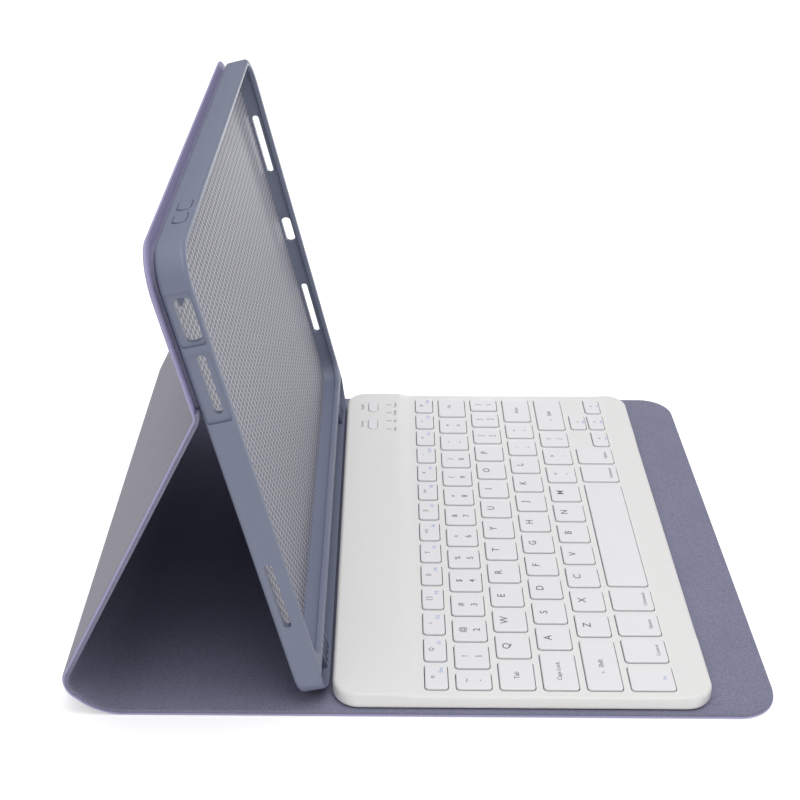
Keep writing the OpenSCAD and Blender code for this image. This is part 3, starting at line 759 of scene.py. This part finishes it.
@dataclass
class Tray:
    """The soft tray: x across it, s up its back from the foot and n out from its back."""

    DEPTH: ClassVar[float] = 10.9
    CAMERA: ClassVar[Outline] = Outline(-117.1, -92.1, 171.8, 189.8, 5.0, 5.0, 0)

    outer_r: float = 14.9
    pocket_r: float = 12.0
    side_wall: float = 2.9
    top_wall: float = 1.9
    pocket_s: float = 15.2
    floor_n: float = 2.4
    lip_n: float = 8.8
    lip_over: float = 1.3
    edge_r: float = 1.7
    back_r: float = 1.9
    channel_s: Span = (1.7, 13.2)
    channel_wall: float = 1.6
    near_windows: tuple[Window, ...] = (
        Window((163.4, 180.2), (3.2, 9.3), 2.4),
        Window((134.8, 158.2), (4.6, 7.8), 1.55),
        Window((39.7, 69.5), (3.4, 6.6), 1.55),
    )
    far_windows: tuple[Window, ...] = (
        Window((135.0, 165.5), (3.6, 6.8), 1.55),
        Window((42.6, 71.8), (3.6, 6.8), 1.55),
        Window((96.4, 110.0), (3.2, 7.9), 2.2),
    )
    hollows: tuple[Window, ...] = (
        Window((162.0, 182.6), (0.9, 10.1), 1.2),
        Window((131.5, 159.4), (0.9, 10.1), 1.2),
    )
    hollow_depth: float = 0.7
    channel_r: float = 10.5
    tooth_count: int = 4
    tooth_pitch: float = 4.2
    tooth_t: float = 1.6
    tooth_start: float = 18.0
    tooth_top: float = 9.6
    lip_r: float = 0.45
    lip_mid: float = 0.13
    lip_under: Span = (0.15, 0.1)
    floor_r: float = 0.7
    floor_mid: float = 0.2
    channel_foot_r: float = 0.8
    camera_n: Span = (-6.0, 4.0)
    past: float = 2.0
    button_n: Span = (4.0, 9.2)
    button_r: float = 2.5
    button_slit: float = 0.25
    button_rise: float = 0.5

    def __post_init__(self) -> None:
        """Reads the tray's outside from its node."""
        low, high = box_mm("tablet_tray")
        self.half_width = high[0]
        self.height = (high[2] - low[2] - self.DEPTH * LEAN[0]) / LEAN[1]
        self.top = self.height - self.top_wall

    @staticmethod
    def place(p: Array) -> Array:
        """Returns x, s, n in the row frame, in metres: foot + s up the lean + n out of it.

        The node's front-most point is the foot's front edge, the tray's depth out from its back.
        """
        low = box_mm("tablet_tray")[0]
        y = low[1] + Tray.DEPTH * LEAN[1] + p[:, 1] * LEAN[0] - p[:, 2] * LEAN[1]
        z = low[2] + p[:, 1] * LEAN[1] + p[:, 2] * LEAN[0]
        return np.stack([p[:, 0], y, z], axis=1) * MM

    @staticmethod
    def opening(window: Window, x0: float, x1: float) -> Shape:
        """Returns a window's shape of s and n carried along x from x0 to x1, to cut with."""
        outline = Outline(*window.s, *window.n, window.corner, window.corner, 0)
        return block(outline, x0, x1).moved(lambda p: Tray.place(p[:, [2, 0, 1]]))

    @staticmethod
    def camera_cutter() -> Shape:
        """Returns the window over the rear camera, from behind the folio to the pocket."""
        return block(Tray.CAMERA, *Tray.camera_n, Spacing(1, (), 8)).moved(Tray.place)

    def levels(self) -> tuple[list[Outline], list[int]]:
        """Returns the outlines from the back round the lip into the pocket, and their finishes."""
        w, h = self.half_width, self.height
        outer = Outline(-w, w, 0, h, self.outer_r, self.outer_r, 0)
        pocket_w = w - self.side_wall
        pocket = Outline(-pocket_w, pocket_w, self.pocket_s, self.top, self.pocket_r, self.pocket_r, 0)
        mouth, front = inset(pocket, self.lip_over, 0), self.DEPTH
        levels = [inset(outer, i, self.back_r - r) for i, r in reversed(rounding(self.back_r, 5))]
        levels += [inset(outer, i, front - self.edge_r + r) for i, r in rounding(self.edge_r, 6)]
        # the lip's inner edge, its underside, and the pocket's rounded floor
        mid, under, rise = self.lip_mid, *self.lip_under
        levels += [inset(mouth, -self.lip_r, front), inset(mouth, -mid, front - mid)]
        levels += [inset(mouth, 0, front - self.lip_r), inset(mouth, 0, self.lip_n + rise)]
        levels += [inset(mouth, -under, self.lip_n), inset(pocket, 0, self.lip_n - rise)]
        levels += [inset(pocket, 0, self.floor_n + self.floor_r)]
        levels += [inset(pocket, i, self.floor_n + r) for i, r in ((self.floor_mid,) * 2, (self.floor_r, 0))]
        return levels, [0] * len(levels) + [1]

    def side_cutters(self) -> list[Shape]:
        """Returns the openings through the near side wall and then the far one."""
        out, into = self.half_width + self.past, self.half_width - self.side_wall - self.past
        near = [self.opening(window, -out, -into) for window in self.near_windows]
        return near + [self.opening(window, into, out) for window in self.far_windows]

    def build(self) -> None:
        """Makes the tray, its channel teeth and its two volume buttons."""
        levels, paint = self.levels()
        # the dots are worked out on a level plane, so the material lays the leaning pad flat
        dots = replace(TPU_DOTS_PAINTED_LIGHT, turn=-math.atan2(LEAN[1], LEAN[0]))
        shape = slab(levels, Spacing(24, even(18), 10), paint=paint).moved(Tray.place)
        tray = make_piece("tablet_tray_body", shape, [TPU, dots])
        w = self.half_width
        reach = w - self.channel_wall
        channel = Outline(-reach, reach, *self.channel_s, self.channel_r, self.channel_foot_r, 0)
        cut(tray, block(channel, self.floor_n, self.DEPTH + self.past).moved(Tray.place))
        cut(tray, Tray.camera_cutter())
        cut(tray, join(self.side_cutters()))
        hollows = [self.opening(hollow, -w - self.past, -w + self.hollow_depth) for hollow in self.hollows]
        cut(tray, join(hollows))
        for node in ("volume_up_button", "volume_down_button"):
            cut(tray, self.button_window(node))
        settle(tray, "tray", "tray_tpu", "tablet_tray")
        self.teeth()
        for node, body in (("volume_up_button", "volume_up"), ("volume_down_button", "volume_down")):
            self.volume_button(node, body)

    def button_outline(self, node: str) -> Outline:
        """Returns a volume button's outline as n across and x along."""
        low, high = box_mm(node)
        return Outline(*self.button_n, low[0], high[0], self.button_r, self.button_r, 0)

    def button_window(self, node: str) -> Shape:
        """Returns the hole in the top wall for a volume button."""
        outline = inset(self.button_outline(node), -self.button_slit, 0)
        return block(outline, self.top - 1, self.height + 1).moved(lambda p: Tray.place(p[:, [1, 2, 0]]))

    def volume_button(self, node: str, body: str) -> None:
        """Makes a volume button: a long low pad with a rounded top.

        Args:
            node: The button's node.
            body: The button's body.
        """
        outline, round_r = self.button_outline(node), 0.6
        top = self.height + self.button_rise
        levels = [inset(outline, 0.2, self.top - 0.1), inset(outline, 0, self.top + 0.1)]
        levels += [inset(outline, i, top - round_r + r) for i, r in rounding(round_r, 4)]
        shape = slab(levels, Spacing(4, even(5), 6)).moved(lambda p: Tray.place(p[:, [1, 2, 0]]))
        settle(make_piece(f"{node}_pad", shape, [TPU]), body, "tray_tpu", node)

    def teeth(self) -> None:
        """Makes the four ribs that grip the pencil at each end of its channel."""
        ribs, sunk, bevel = [], 0.2, 0.3
        inner, half_t = self.half_width - self.side_wall, self.tooth_t / 2
        foot, head = self.channel_s[0] - sunk, self.channel_s[1] + sunk
        for side in (-1, 1):
            for count in range(self.tooth_count):
                x = side * (inner - self.tooth_start - count * self.tooth_pitch)
                rib = Outline(x - half_t, x + half_t, foot, head, 0.4, 0.4, 0)
                levels = [inset(rib, 0, self.floor_n - sunk), inset(rib, 0, self.tooth_top)]
                levels += [inset(rib, bevel, self.tooth_top + bevel)]
                ribs.append(slab(levels, Spacing(1, (), 2)).moved(Tray.place))
        settle(make_piece("pencil_channel_ribs", join(ribs), [TPU]), "tray", "tray_tpu")


# ---- keyboard


class Ink(Enum):
    """The two colours of legend ink."""

    GREY = "grey"
    BLUE = "blue"


@dataclass(frozen=True)
class Legend:
    """Words on a key: where on the cap, from -0.5 to 0.5 each way, their height in mm and ink."""

    text: str
    x: float = 0.0
    y: float = 0.18
    height: float = 3.3
    ink: Ink = Ink.GREY


Marks = tuple[Legend, ...]


def letters(text: str) -> list[Marks]:
    """Returns one centred letter to each key."""
    return [(Legend(c),) for c in text]


def pairs(text: str) -> list[Marks]:
    """Returns two marks to each key, the shifted one behind; text holds them in turn."""
    return [
        (Legend(shifted, y=0.2, height=2.6), Legend(plain, y=-0.2, height=2.8))
        for shifted, plain in zip(text[::2], text[1::2])
    ]


def one(text: str, x: float, y: float, height: float, ink: Ink = Ink.GREY) -> list[Marks]:
    """Returns the legend of a node that is a single key with one word or mark."""
    return [(Legend(text, x, y, height, ink),)]


def word(text: str, ink: Ink = Ink.GREY) -> list[Marks]:
    """Returns a small word near a key's front edge."""
    return one(text, 0.0, -0.3, 1.5, ink)


def two(mark: Legend, second: Legend) -> list[Marks]:
    """Returns the legends of a node that is a single key with two."""
    return [(mark, second)]


def arrow(mark: str, name: str, y: float = 0.05) -> list[Marks]:
    """Returns an arrow with the name of its second job in blue."""
    return two(Legend(mark, 0.0, y, 2.0), Legend(name, 0.0, -0.36, 1.0, Ink.BLUE))


FUNCTION_MARKS = ("o", "Q", "::", "[ ]", "()", "T", "<<", "||", ">>", "x", "-", "+", "*", "#")
FUNCTION_NAMES = ("Esc", *[f"F{n}" for n in range(1, 13)], "Del")
LEGENDS: dict[str, list[Marks]] = {
    "function_keys": [
        (Legend(mark, -0.02, 0.16, 2.0), Legend(name, 0.27, -0.2, 1.7, Ink.BLUE))
        for mark, name in zip(FUNCTION_MARKS, FUNCTION_NAMES)
    ],
    "grave_key": pairs("~`"),
    "number_keys": pairs("!1@2#3$4%5^6&7*8(9)0_-+="),
    "backspace_key": one("<x", 0.05, 0.1, 2.4),
    "tab_key": one("Tab", 0.0, 0.0, 2.0),
    "upper_letter_keys": letters("QWERTYUIOP") + pairs("{[}]"),
    "backslash_key": pairs("|\\"),
    "caps_lock_key": one("Caps Lock", 0.0, 0.0, 1.8),
    "home_letter_keys": letters("ASDFGHJKL") + pairs(":;\"'"),
    "enter_key": one("Enter", 0.0, 0.0, 1.9),
    "left_shift_key": two(Legend("Shift", 0.02, 0.0, 2.0), Legend("^", -0.16, -0.02, 1.6)),
    "lower_letter_keys": letters("ZXCVBNM") + pairs("<,>.?/"),
    "right_shift_key": two(Legend("Shift", 0.02, 0.0, 2.0), Legend("^", -0.2, -0.02, 1.6)),
    "fn_key": word("Fn", Ink.BLUE),
    "control_key": word("Control"),
    "left_option_key": word("Option"),
    "left_command_key": word("Command"),
    "space_bar": [()],
    "right_command_key": word("Command"),
    "right_option_key": word("Option"),
    "left_arrow_key": arrow("<", "Home"),
    "down_arrow_key": arrow("v", "PgDn"),
    "up_arrow_key": arrow("^", "PgUp", 0.0),
    "right_arrow_key": arrow(">", "End"),
}
CONTROL_BUTTONS = (("power_button", "power", "On/Off"), ("connect_button", "connect", "Connect"))


class Printer:
    """Cuts legends out of the built-in font, as thin closed solids one unit high."""

    CURVE_STEPS = 3
    THICKEN = 0.008

    def __init__(self) -> None:
        """Starts with nothing cut and measures the height of a capital."""
        self.cut_texts: dict[str, Shape] = {}
        self.capital = 1.0
        high = self.solid("H").points[:, 1]
        self.capital = float(high.max() - high.min())
        self.cut_texts.clear()

    def solid(self, text: str) -> Shape:
        """Returns the text centred on its own middle, with capitals one unit high.

        Args:
            text: The text.

        Returns:
            A shape whose z is 0 below and 1 above.
        """
        if text in self.cut_texts:
            return self.cut_texts[text]
        curve = bpy.data.curves.new("legend", "FONT")
        curve.body, curve.extrude = text, 0.5
        curve.resolution_u, curve.offset = self.CURVE_STEPS, self.THICKEN
        carrier = bpy.data.objects.new("legend", curve)
        bpy.context.scene.collection.objects.link(carrier)
        graph = bpy.context.evaluated_depsgraph_get()
        mesh = bpy.data.meshes.new_from_object(carrier.evaluated_get(graph))
        points = np.zeros(len(mesh.vertices) * 3)
        mesh.vertices.foreach_get("co", points)
        points = points.reshape(-1, 3)
        faces = [list(p.vertices) for p in mesh.polygons]
        middle = (points.min(axis=0) + points.max(axis=0)) / 2
        points[:, :2] = (points[:, :2] - middle[:2]) / self.capital
        points[:, 2] = (points[:, 2] > middle[2]).astype(float)
        bpy.data.objects.remove(carrier)
        bpy.data.curves.remove(curve)
        bpy.data.meshes.remove(mesh)
        self.cut_texts[text] = Shape(points, faces, [0] * len(faces))
        return self.cut_texts[text]


@dataclass
class Keyboard:
    """The thin wireless keyboard: its case, keys, buttons and lamps.

    The shell's foot and the tub's head are insets and heights over the base, round the case's seam.
    """

    SHELL_FOOT: ClassVar[tuple[Span, ...]] = ((0.15, 0.62), (0.0, 0.8))
    TUB_HEAD: ClassVar[Span] = (0.25, 0.55)

    corner_r: float = 11.0
    edge_r: float = 1.7
    wall: float = 1.8
    deck_z: float = 8.5
    deck_t: float = 1.2
    band_depth: float = 26.8
    slope: float = 7.5
    lamp_x: tuple[float, ...] = (82.0, 90.7, 99.4, 108.1)
    lamp_size: Span = (0.8, 3.0)
    lamp_r: float = 0.35
    lamp_bevel: float = 0.15
    lamp_span: Point = (-1.0, 0.02, 0.06)
    tub_inset: float = 0.1
    tub_r: float = 0.4
    pitch: float = 17.19
    key_gap: float = 2.29
    key_r: float = 1.5
    key_edge: float = 0.5
    key_clearance: float = 0.35
    button_clearance: float = 0.2
    button_edge: float = 0.5
    dish: float = 0.14
    ink_t: float = 0.02
    word_height: float = 1.3
    sharp: float = 30.0
    cap_sharp: float = 50.0
    foot_strip: float = 13.0
    corner_rise: float = 0.55
    corner_left: float = 42.0
    corner_right: float = 50.0
    corner_run: float = 3.0
    word_gap: float = 3.2

    def __post_init__(self) -> None:
        """Reads the keyboard's outside from its case."""
        self.low, self.high = box_mm("keyboard_top_case")
        self.base = box_mm("keyboard_bottom_case")[0][2]
        self.slope_y = self.high[1] - self.band_depth - self.slope

    def outline(self) -> Outline:
        """Returns the case's outline at its underside."""
        return Outline(self.low[0], self.high[0], self.low[1], self.high[1], self.corner_r, self.corner_r, 0)

    def deck(self, x: Array, y: Array) -> Array:
        """Height of the deck above the key deck: the rear band's step and two raised front corners.

        The band rises by a smooth step of y, and each corner by a smooth step of x times one of y.
        """
        def step(v: Array) -> Array:
            v = np.clip(v, 0, 1)
            return v * v * (3 - 2 * v)

        run = self.corner_run
        band = (self.high[2] - self.deck_z) * step((y - self.slope_y) / self.slope)
        left = step((self.low[0] + self.corner_left - x) / run)
        right = step((x - self.high[0] + self.corner_right) / run)
        front = 1 - step((y - self.low[1] - self.foot_strip + run) / run)
        return band + self.corner_rise * (left + right) * front

    def keys(self, node: str) -> list[Outline]:
        """Returns the outline of each key in a node, from its box and the key pitch."""
        low, high = box_mm(node)
        count = len(LEGENDS[node])
        width = high[0] - low[0] if count == 1 else self.pitch - self.key_gap
        return [
            Outline(x, x + width, low[1], high[1], self.key_r, self.key_r, 0)
            for x in low[0] + np.arange(count) * self.pitch
        ]

    def case(self) -> None:
        """Makes the two halves of the case, with a window for each key."""
        outline, top = self.outline(), self.deck_z
        levels = [inset(outline, i, self.base + z) for i, z in self.SHELL_FOOT]
        levels += [inset(outline, i, top - self.edge_r + r, 1.0) for i, r in rounding(self.edge_r, 6)]
        straight = self.high[1] - self.low[1] - 2 * self.corner_r
        start = self.slope_y - self.low[1] - self.corner_r
        along = sorted({*even(22), *[(start + v) / straight for v in np.linspace(0, self.slope, 10)]})
        spacing = Spacing(60, tuple(along), 14)
        shape = slab(levels, spacing, self.deck).in_metres()
        case = make_piece("keyboard_top_shell", shape, [WHITE_ABS], self.sharp)
        cavity = inset(outline, self.wall, 0)
        cut(case, block(cavity, self.base, top - self.deck_t).in_metres(), self.sharp)
        holes = [inset(key, -self.key_clearance, 0) for node in LEGENDS for key in self.keys(node)]
        holes += [inset(self.button(node), -self.button_clearance, 0) for node, _, _ in CONTROL_BUTTONS]
        windows = [block(hole, top - self.deck_t - 1, self.high[2] + 2) for hole in holes]
        cut(case, join(windows).in_metres(), self.sharp)
        settle(case, "keyboard", "case_white", "keyboard_top_case")
        # the bottom case shows as a thin rim, drawn in under the seam
        by, r0 = self.tub_inset, self.tub_r
        under = [inset(outline, by + i, self.base + r0 - r) for i, r in reversed(rounding(r0, 3))]
        under += [inset(outline, self.TUB_HEAD[0], self.base + self.TUB_HEAD[1])]
        shape = slab(under, Spacing(12, even(8), 10)).in_metres()
        tub = make_piece("keyboard_bottom_tub", shape, [WHITE_ABS])
        settle(tub, "keyboard", "case_white", "keyboard_bottom_case")

    def button(self, node: str) -> Outline:
        """Returns the outline of a control button."""
        low, high = box_mm(node)
        radius = (high[1] - low[1]) / 2 - 0.02
        return Outline(low[0], high[0], low[1], high[1], radius, radius, 0)

    def buttons(self) -> None:
        """Makes the power and pairing buttons: low rounded pads."""
        edge = self.button_edge
        for node, body, _ in CONTROL_BUTTONS:
            low, high = box_mm(node)
            outline = self.button(node)
            levels = [inset(outline, 0, low[2])]
            levels += [inset(outline, i, high[2] - edge + r) for i, r in rounding(edge, 4)]
            shape = slab(levels, Spacing(5, (0.5,), 8)).in_metres()
            settle(make_piece(f"{node}_pad", shape, [KEY_ABS]), body, "key_white", node)

    def lamps(self, printer: Printer) -> None:
        """Makes the four lamp lenses and prints the words by the lamps and the buttons.

        Args:
            printer: Where the words come from.
        """
        low, high = box_mm("indicator_lenses")
        y, (half_x, half_y) = (low[1] + high[1]) / 2, np.array(self.lamp_size) / 2
        lenses, words = [], []
        for x, text in zip(self.lamp_x, ("Caps", "Pair", "Charge", "Power")):
            lens = Outline(x - half_x, x + half_x, y - half_y, y + half_y, self.lamp_r, self.lamp_r, 0)
            insets = (0, 0, self.lamp_bevel)
            levels = [inset(lens, i, self.high[2] + z) for i, z in zip(insets, self.lamp_span)]
            lenses.append(slab(levels, Spacing(1, (), 4)))
            words.append(self.word(printer, text, x, y - self.word_gap))
        for node, _, text in CONTROL_BUTTONS:
            low, high = box_mm(node)
            words.append(self.word(printer, text, (low[0] + high[0]) / 2, high[1] + self.word_gap))
        lenses_made = make_piece("lamp_lenses", join(lenses).in_metres(), [LENS])
        settle(lenses_made, "keyboard", "lens", "indicator_lenses")
        words_made = make_piece("case_words", join(words).in_metres(), [GREY_INK])
        settle(words_made, "keyboard", "case_white")

    def word(self, printer: Printer, text: str, x: float, y: float) -> Shape:
        """Returns a small word printed flat on the rear band, centred at x, y."""
        solid = printer.solid(text)
        scale = np.array([self.word_height, self.word_height, 2 * self.ink_t])
        return solid.moved(lambda p: p * scale + np.array([x, y, self.high[2] - self.ink_t / 2]))

    def key_caps(self, printer: Printer) -> None:
        """Makes every key: its cap, dished across its top, and its legends.

        Args:
            printer: Where the legends come from.
        """
        for node, marks in LEGENDS.items():
            low, high = box_mm(node)
            body = next(b for b, nodes in frame["record"]["behaviour"]["bodies"].items() if node in nodes)
            outlines = self.keys(node)
            caps = [self.cap(outline, low[2], high[2]) for outline in outlines]
            piece = make_piece(f"{node}_caps", join(caps).in_metres(), [KEY_ABS], self.cap_sharp)
            settle(piece, body, "key_white", node)
            inks = [
                self.legend(printer, outline, mark, high[2])
                for outline, mark_set in zip(outlines, marks) for mark in mark_set
            ]
            if inks:
                piece = make_piece(f"{node}_legends", join(inks).in_metres(), [GREY_INK, BLUE_INK])
                settle(piece, body, "key_white")

    def hollow(self, o: Outline) -> Surface:
        """Returns a cap's dish: -depth (1 - u^2) (1 - v^2), u and v from -1 to 1 across it."""
        half_x, half_y = (o.x1 - o.x0) / 2, (o.y1 - o.y0) / 2

        def dish(x: Array, y: Array) -> Array:
            u = np.clip((x - o.x0) / half_x - 1, -1, 1)
            v = np.clip((y - o.y0) / half_y - 1, -1, 1)
            return -self.dish * (1 - u * u) * (1 - v * v)

        return dish

    def cap(self, o: Outline, base: float, top: float) -> Shape:
        """Returns one key cap with rounded top edges.

        Args:
            o: The key's outline.
            base: Height of its underside.
            top: Height of its top edge.

        Returns:
            The cap, in millimetres.
        """
        levels = [inset(o, 0.1, base), inset(o, 0, base + 0.15)]
        levels += [inset(o, i, top - self.key_edge + r, 1.0) for i, r in rounding(self.key_edge, 4)]
        return slab(levels, Spacing(6, even(5), 4), self.hollow(o))

    def legend(self, printer: Printer, o: Outline, mark: Legend, top: float) -> Shape:
        """Returns one legend printed on a cap's dished top.

        Args:
            printer: Where the text comes from.
            o: The key's outline.
            mark: The legend.
            top: Height of the cap's top edge.

        Returns:
            The legend, in millimetres.
        """
        text = printer.solid(mark.text)
        x = (o.x0 + o.x1) / 2 + mark.x * (o.x1 - o.x0) + text.points[:, 0] * mark.height
        y = (o.y0 + o.y1) / 2 + mark.y * (o.y1 - o.y0) + text.points[:, 1] * mark.height
        z = top + self.hollow(o)(x, y) + (text.points[:, 2] * 2 - 0.5) * self.ink_t
        paint = [int(mark.ink is Ink.BLUE)] * len(text.faces)
        return Shape(np.stack([x, y, z], axis=1), text.faces, paint)

    def build(self) -> None:
        """Makes the keyboard."""
        self.case()
        self.buttons()
        printer = Printer()
        self.lamps(printer)
        self.key_caps(printer)


# ---- studio


@dataclass(frozen=True)
class Lamp:
    """A square soft light: where it is and points, the length of its side and its power in watts."""

    name: str
    at: Point
    aim: Point
    size: float
    power: float


@dataclass
class Studio:
    """Floor, lights and camera. Lengths are in metres."""

    eye: Point = (-0.5422, 0.0147, 0.3693)
    yaw: float = 0.01
    pitch: float = math.radians(28.77)
    lens: float = 61.73
    sensor: float = 36.0
    shift: Span = (0.0326, 0.0009)
    nearest: float = 0.01
    sky: Span = (0.08, 0.98)
    sky_top: float = 0.9
    floor_half: float = 20.0
    floor_glow: float = 0.32
    lamps: tuple[Lamp, ...] = (
        Lamp("overhead", (-0.25, -0.15, 1.5), (0.0, 0.0, 0.0), 0.9, 8.0),
        Lamp("far_side", (0.6, -0.08, 0.05), (0.12, 0.07, 0.11), 0.05, 0.2),
    )

    def floor(self) -> None:
        """Makes a plain pale floor under the case."""
        half = self.floor_half
        corners = np.array([[-half, -half, 0], [half, -half, 0], [half, half, 0], [-half, half, 0]], float)
        floor = make_piece("studio_floor", Shape(corners, [[0, 1, 2, 3]], [0]), [FLOOR])
        shader = next(n for n in FINISHES.material(FLOOR).node_tree.nodes if n.type == "BSDF_PRINCIPLED")
        shader.inputs["Emission Color"].default_value = linear("#FFFFFF")
        shader.inputs["Emission Strength"].default_value = self.floor_glow

    def light(self, lamp: Lamp) -> None:
        """Adds one light."""
        data = bpy.data.lights.new(lamp.name, "AREA")
        data.energy, data.size = lamp.power, lamp.size
        carrier = bpy.data.objects.new(lamp.name, data)
        bpy.context.scene.collection.objects.link(carrier)
        carrier.location = lamp.at
        carrier.rotation_euler = (Vector(lamp.aim) - Vector(lamp.at)).to_track_quat("-Z", "Y").to_euler()
        carrier.visible_camera = False

    def build(self) -> None:
        """Makes the floor, the lights, the sky and the camera."""
        self.floor()
        self.paint_sky()
        for lamp in self.lamps:
            self.light(lamp)
        bpy.context.scene.view_settings.view_transform = "Standard"
        data = bpy.data.cameras.new("camera")
        data.lens, data.sensor_width, data.clip_start = self.lens, self.sensor, self.nearest
        data.shift_x, data.shift_y = self.shift
        camera = bpy.data.objects.new("camera", data)
        bpy.context.scene.collection.objects.link(camera)
        flat = math.cos(self.pitch)
        look = Vector((flat * math.cos(self.yaw), flat * math.sin(self.yaw), -math.sin(self.pitch)))
        camera.location = self.eye
        camera.rotation_euler = look.to_track_quat("-Z", "Y").to_euler()
        bpy.context.scene.camera = camera

    def paint_sky(self) -> None:
        """Makes a white sky whose brightness grows with its height, from the horizon to overhead."""
        world = bpy.data.worlds.new("studio_white")
        bpy.context.scene.world = world
        world.use_nodes = True
        tree = world.node_tree
        sky = next(n for n in tree.nodes if n.type == "BACKGROUND")
        sky.inputs["Color"].default_value = linear("#FFFFFF")
        where = add_node(tree, "ShaderNodeTexCoord", {}, {}).outputs["Generated"]
        height = add_node(tree, "ShaderNodeSeparateXYZ", {}, {0: where}).outputs[2]
        span = {1: 0.0, 2: self.sky_top, 3: self.sky[0], 4: self.sky[1]}
        strength = add_node(tree, "ShaderNodeMapRange", span, {0: height})
        tree.links.new(strength.outputs[0], sky.inputs["Strength"])


def dress_nodes() -> None:
    """Gives every node that stays in sight its finish."""
    for name, node in frame["nodes"].items():
        finish = NODE_FINISHES.get(name, BOARD if name.endswith("board") else KEY_ABS)
        node.data.materials.clear()
        node.data.materials.append(FINISHES.material(finish))


def main() -> None:
    """Builds the studio and the case, and reports each piece."""
    logging.basicConfig(level=logging.INFO, format="%(message)s")
    Studio().build()
    dress_nodes()
    Folio().build()
    Tray().build()
    Keyboard().build()


if __name__ == "__main__":
    main()
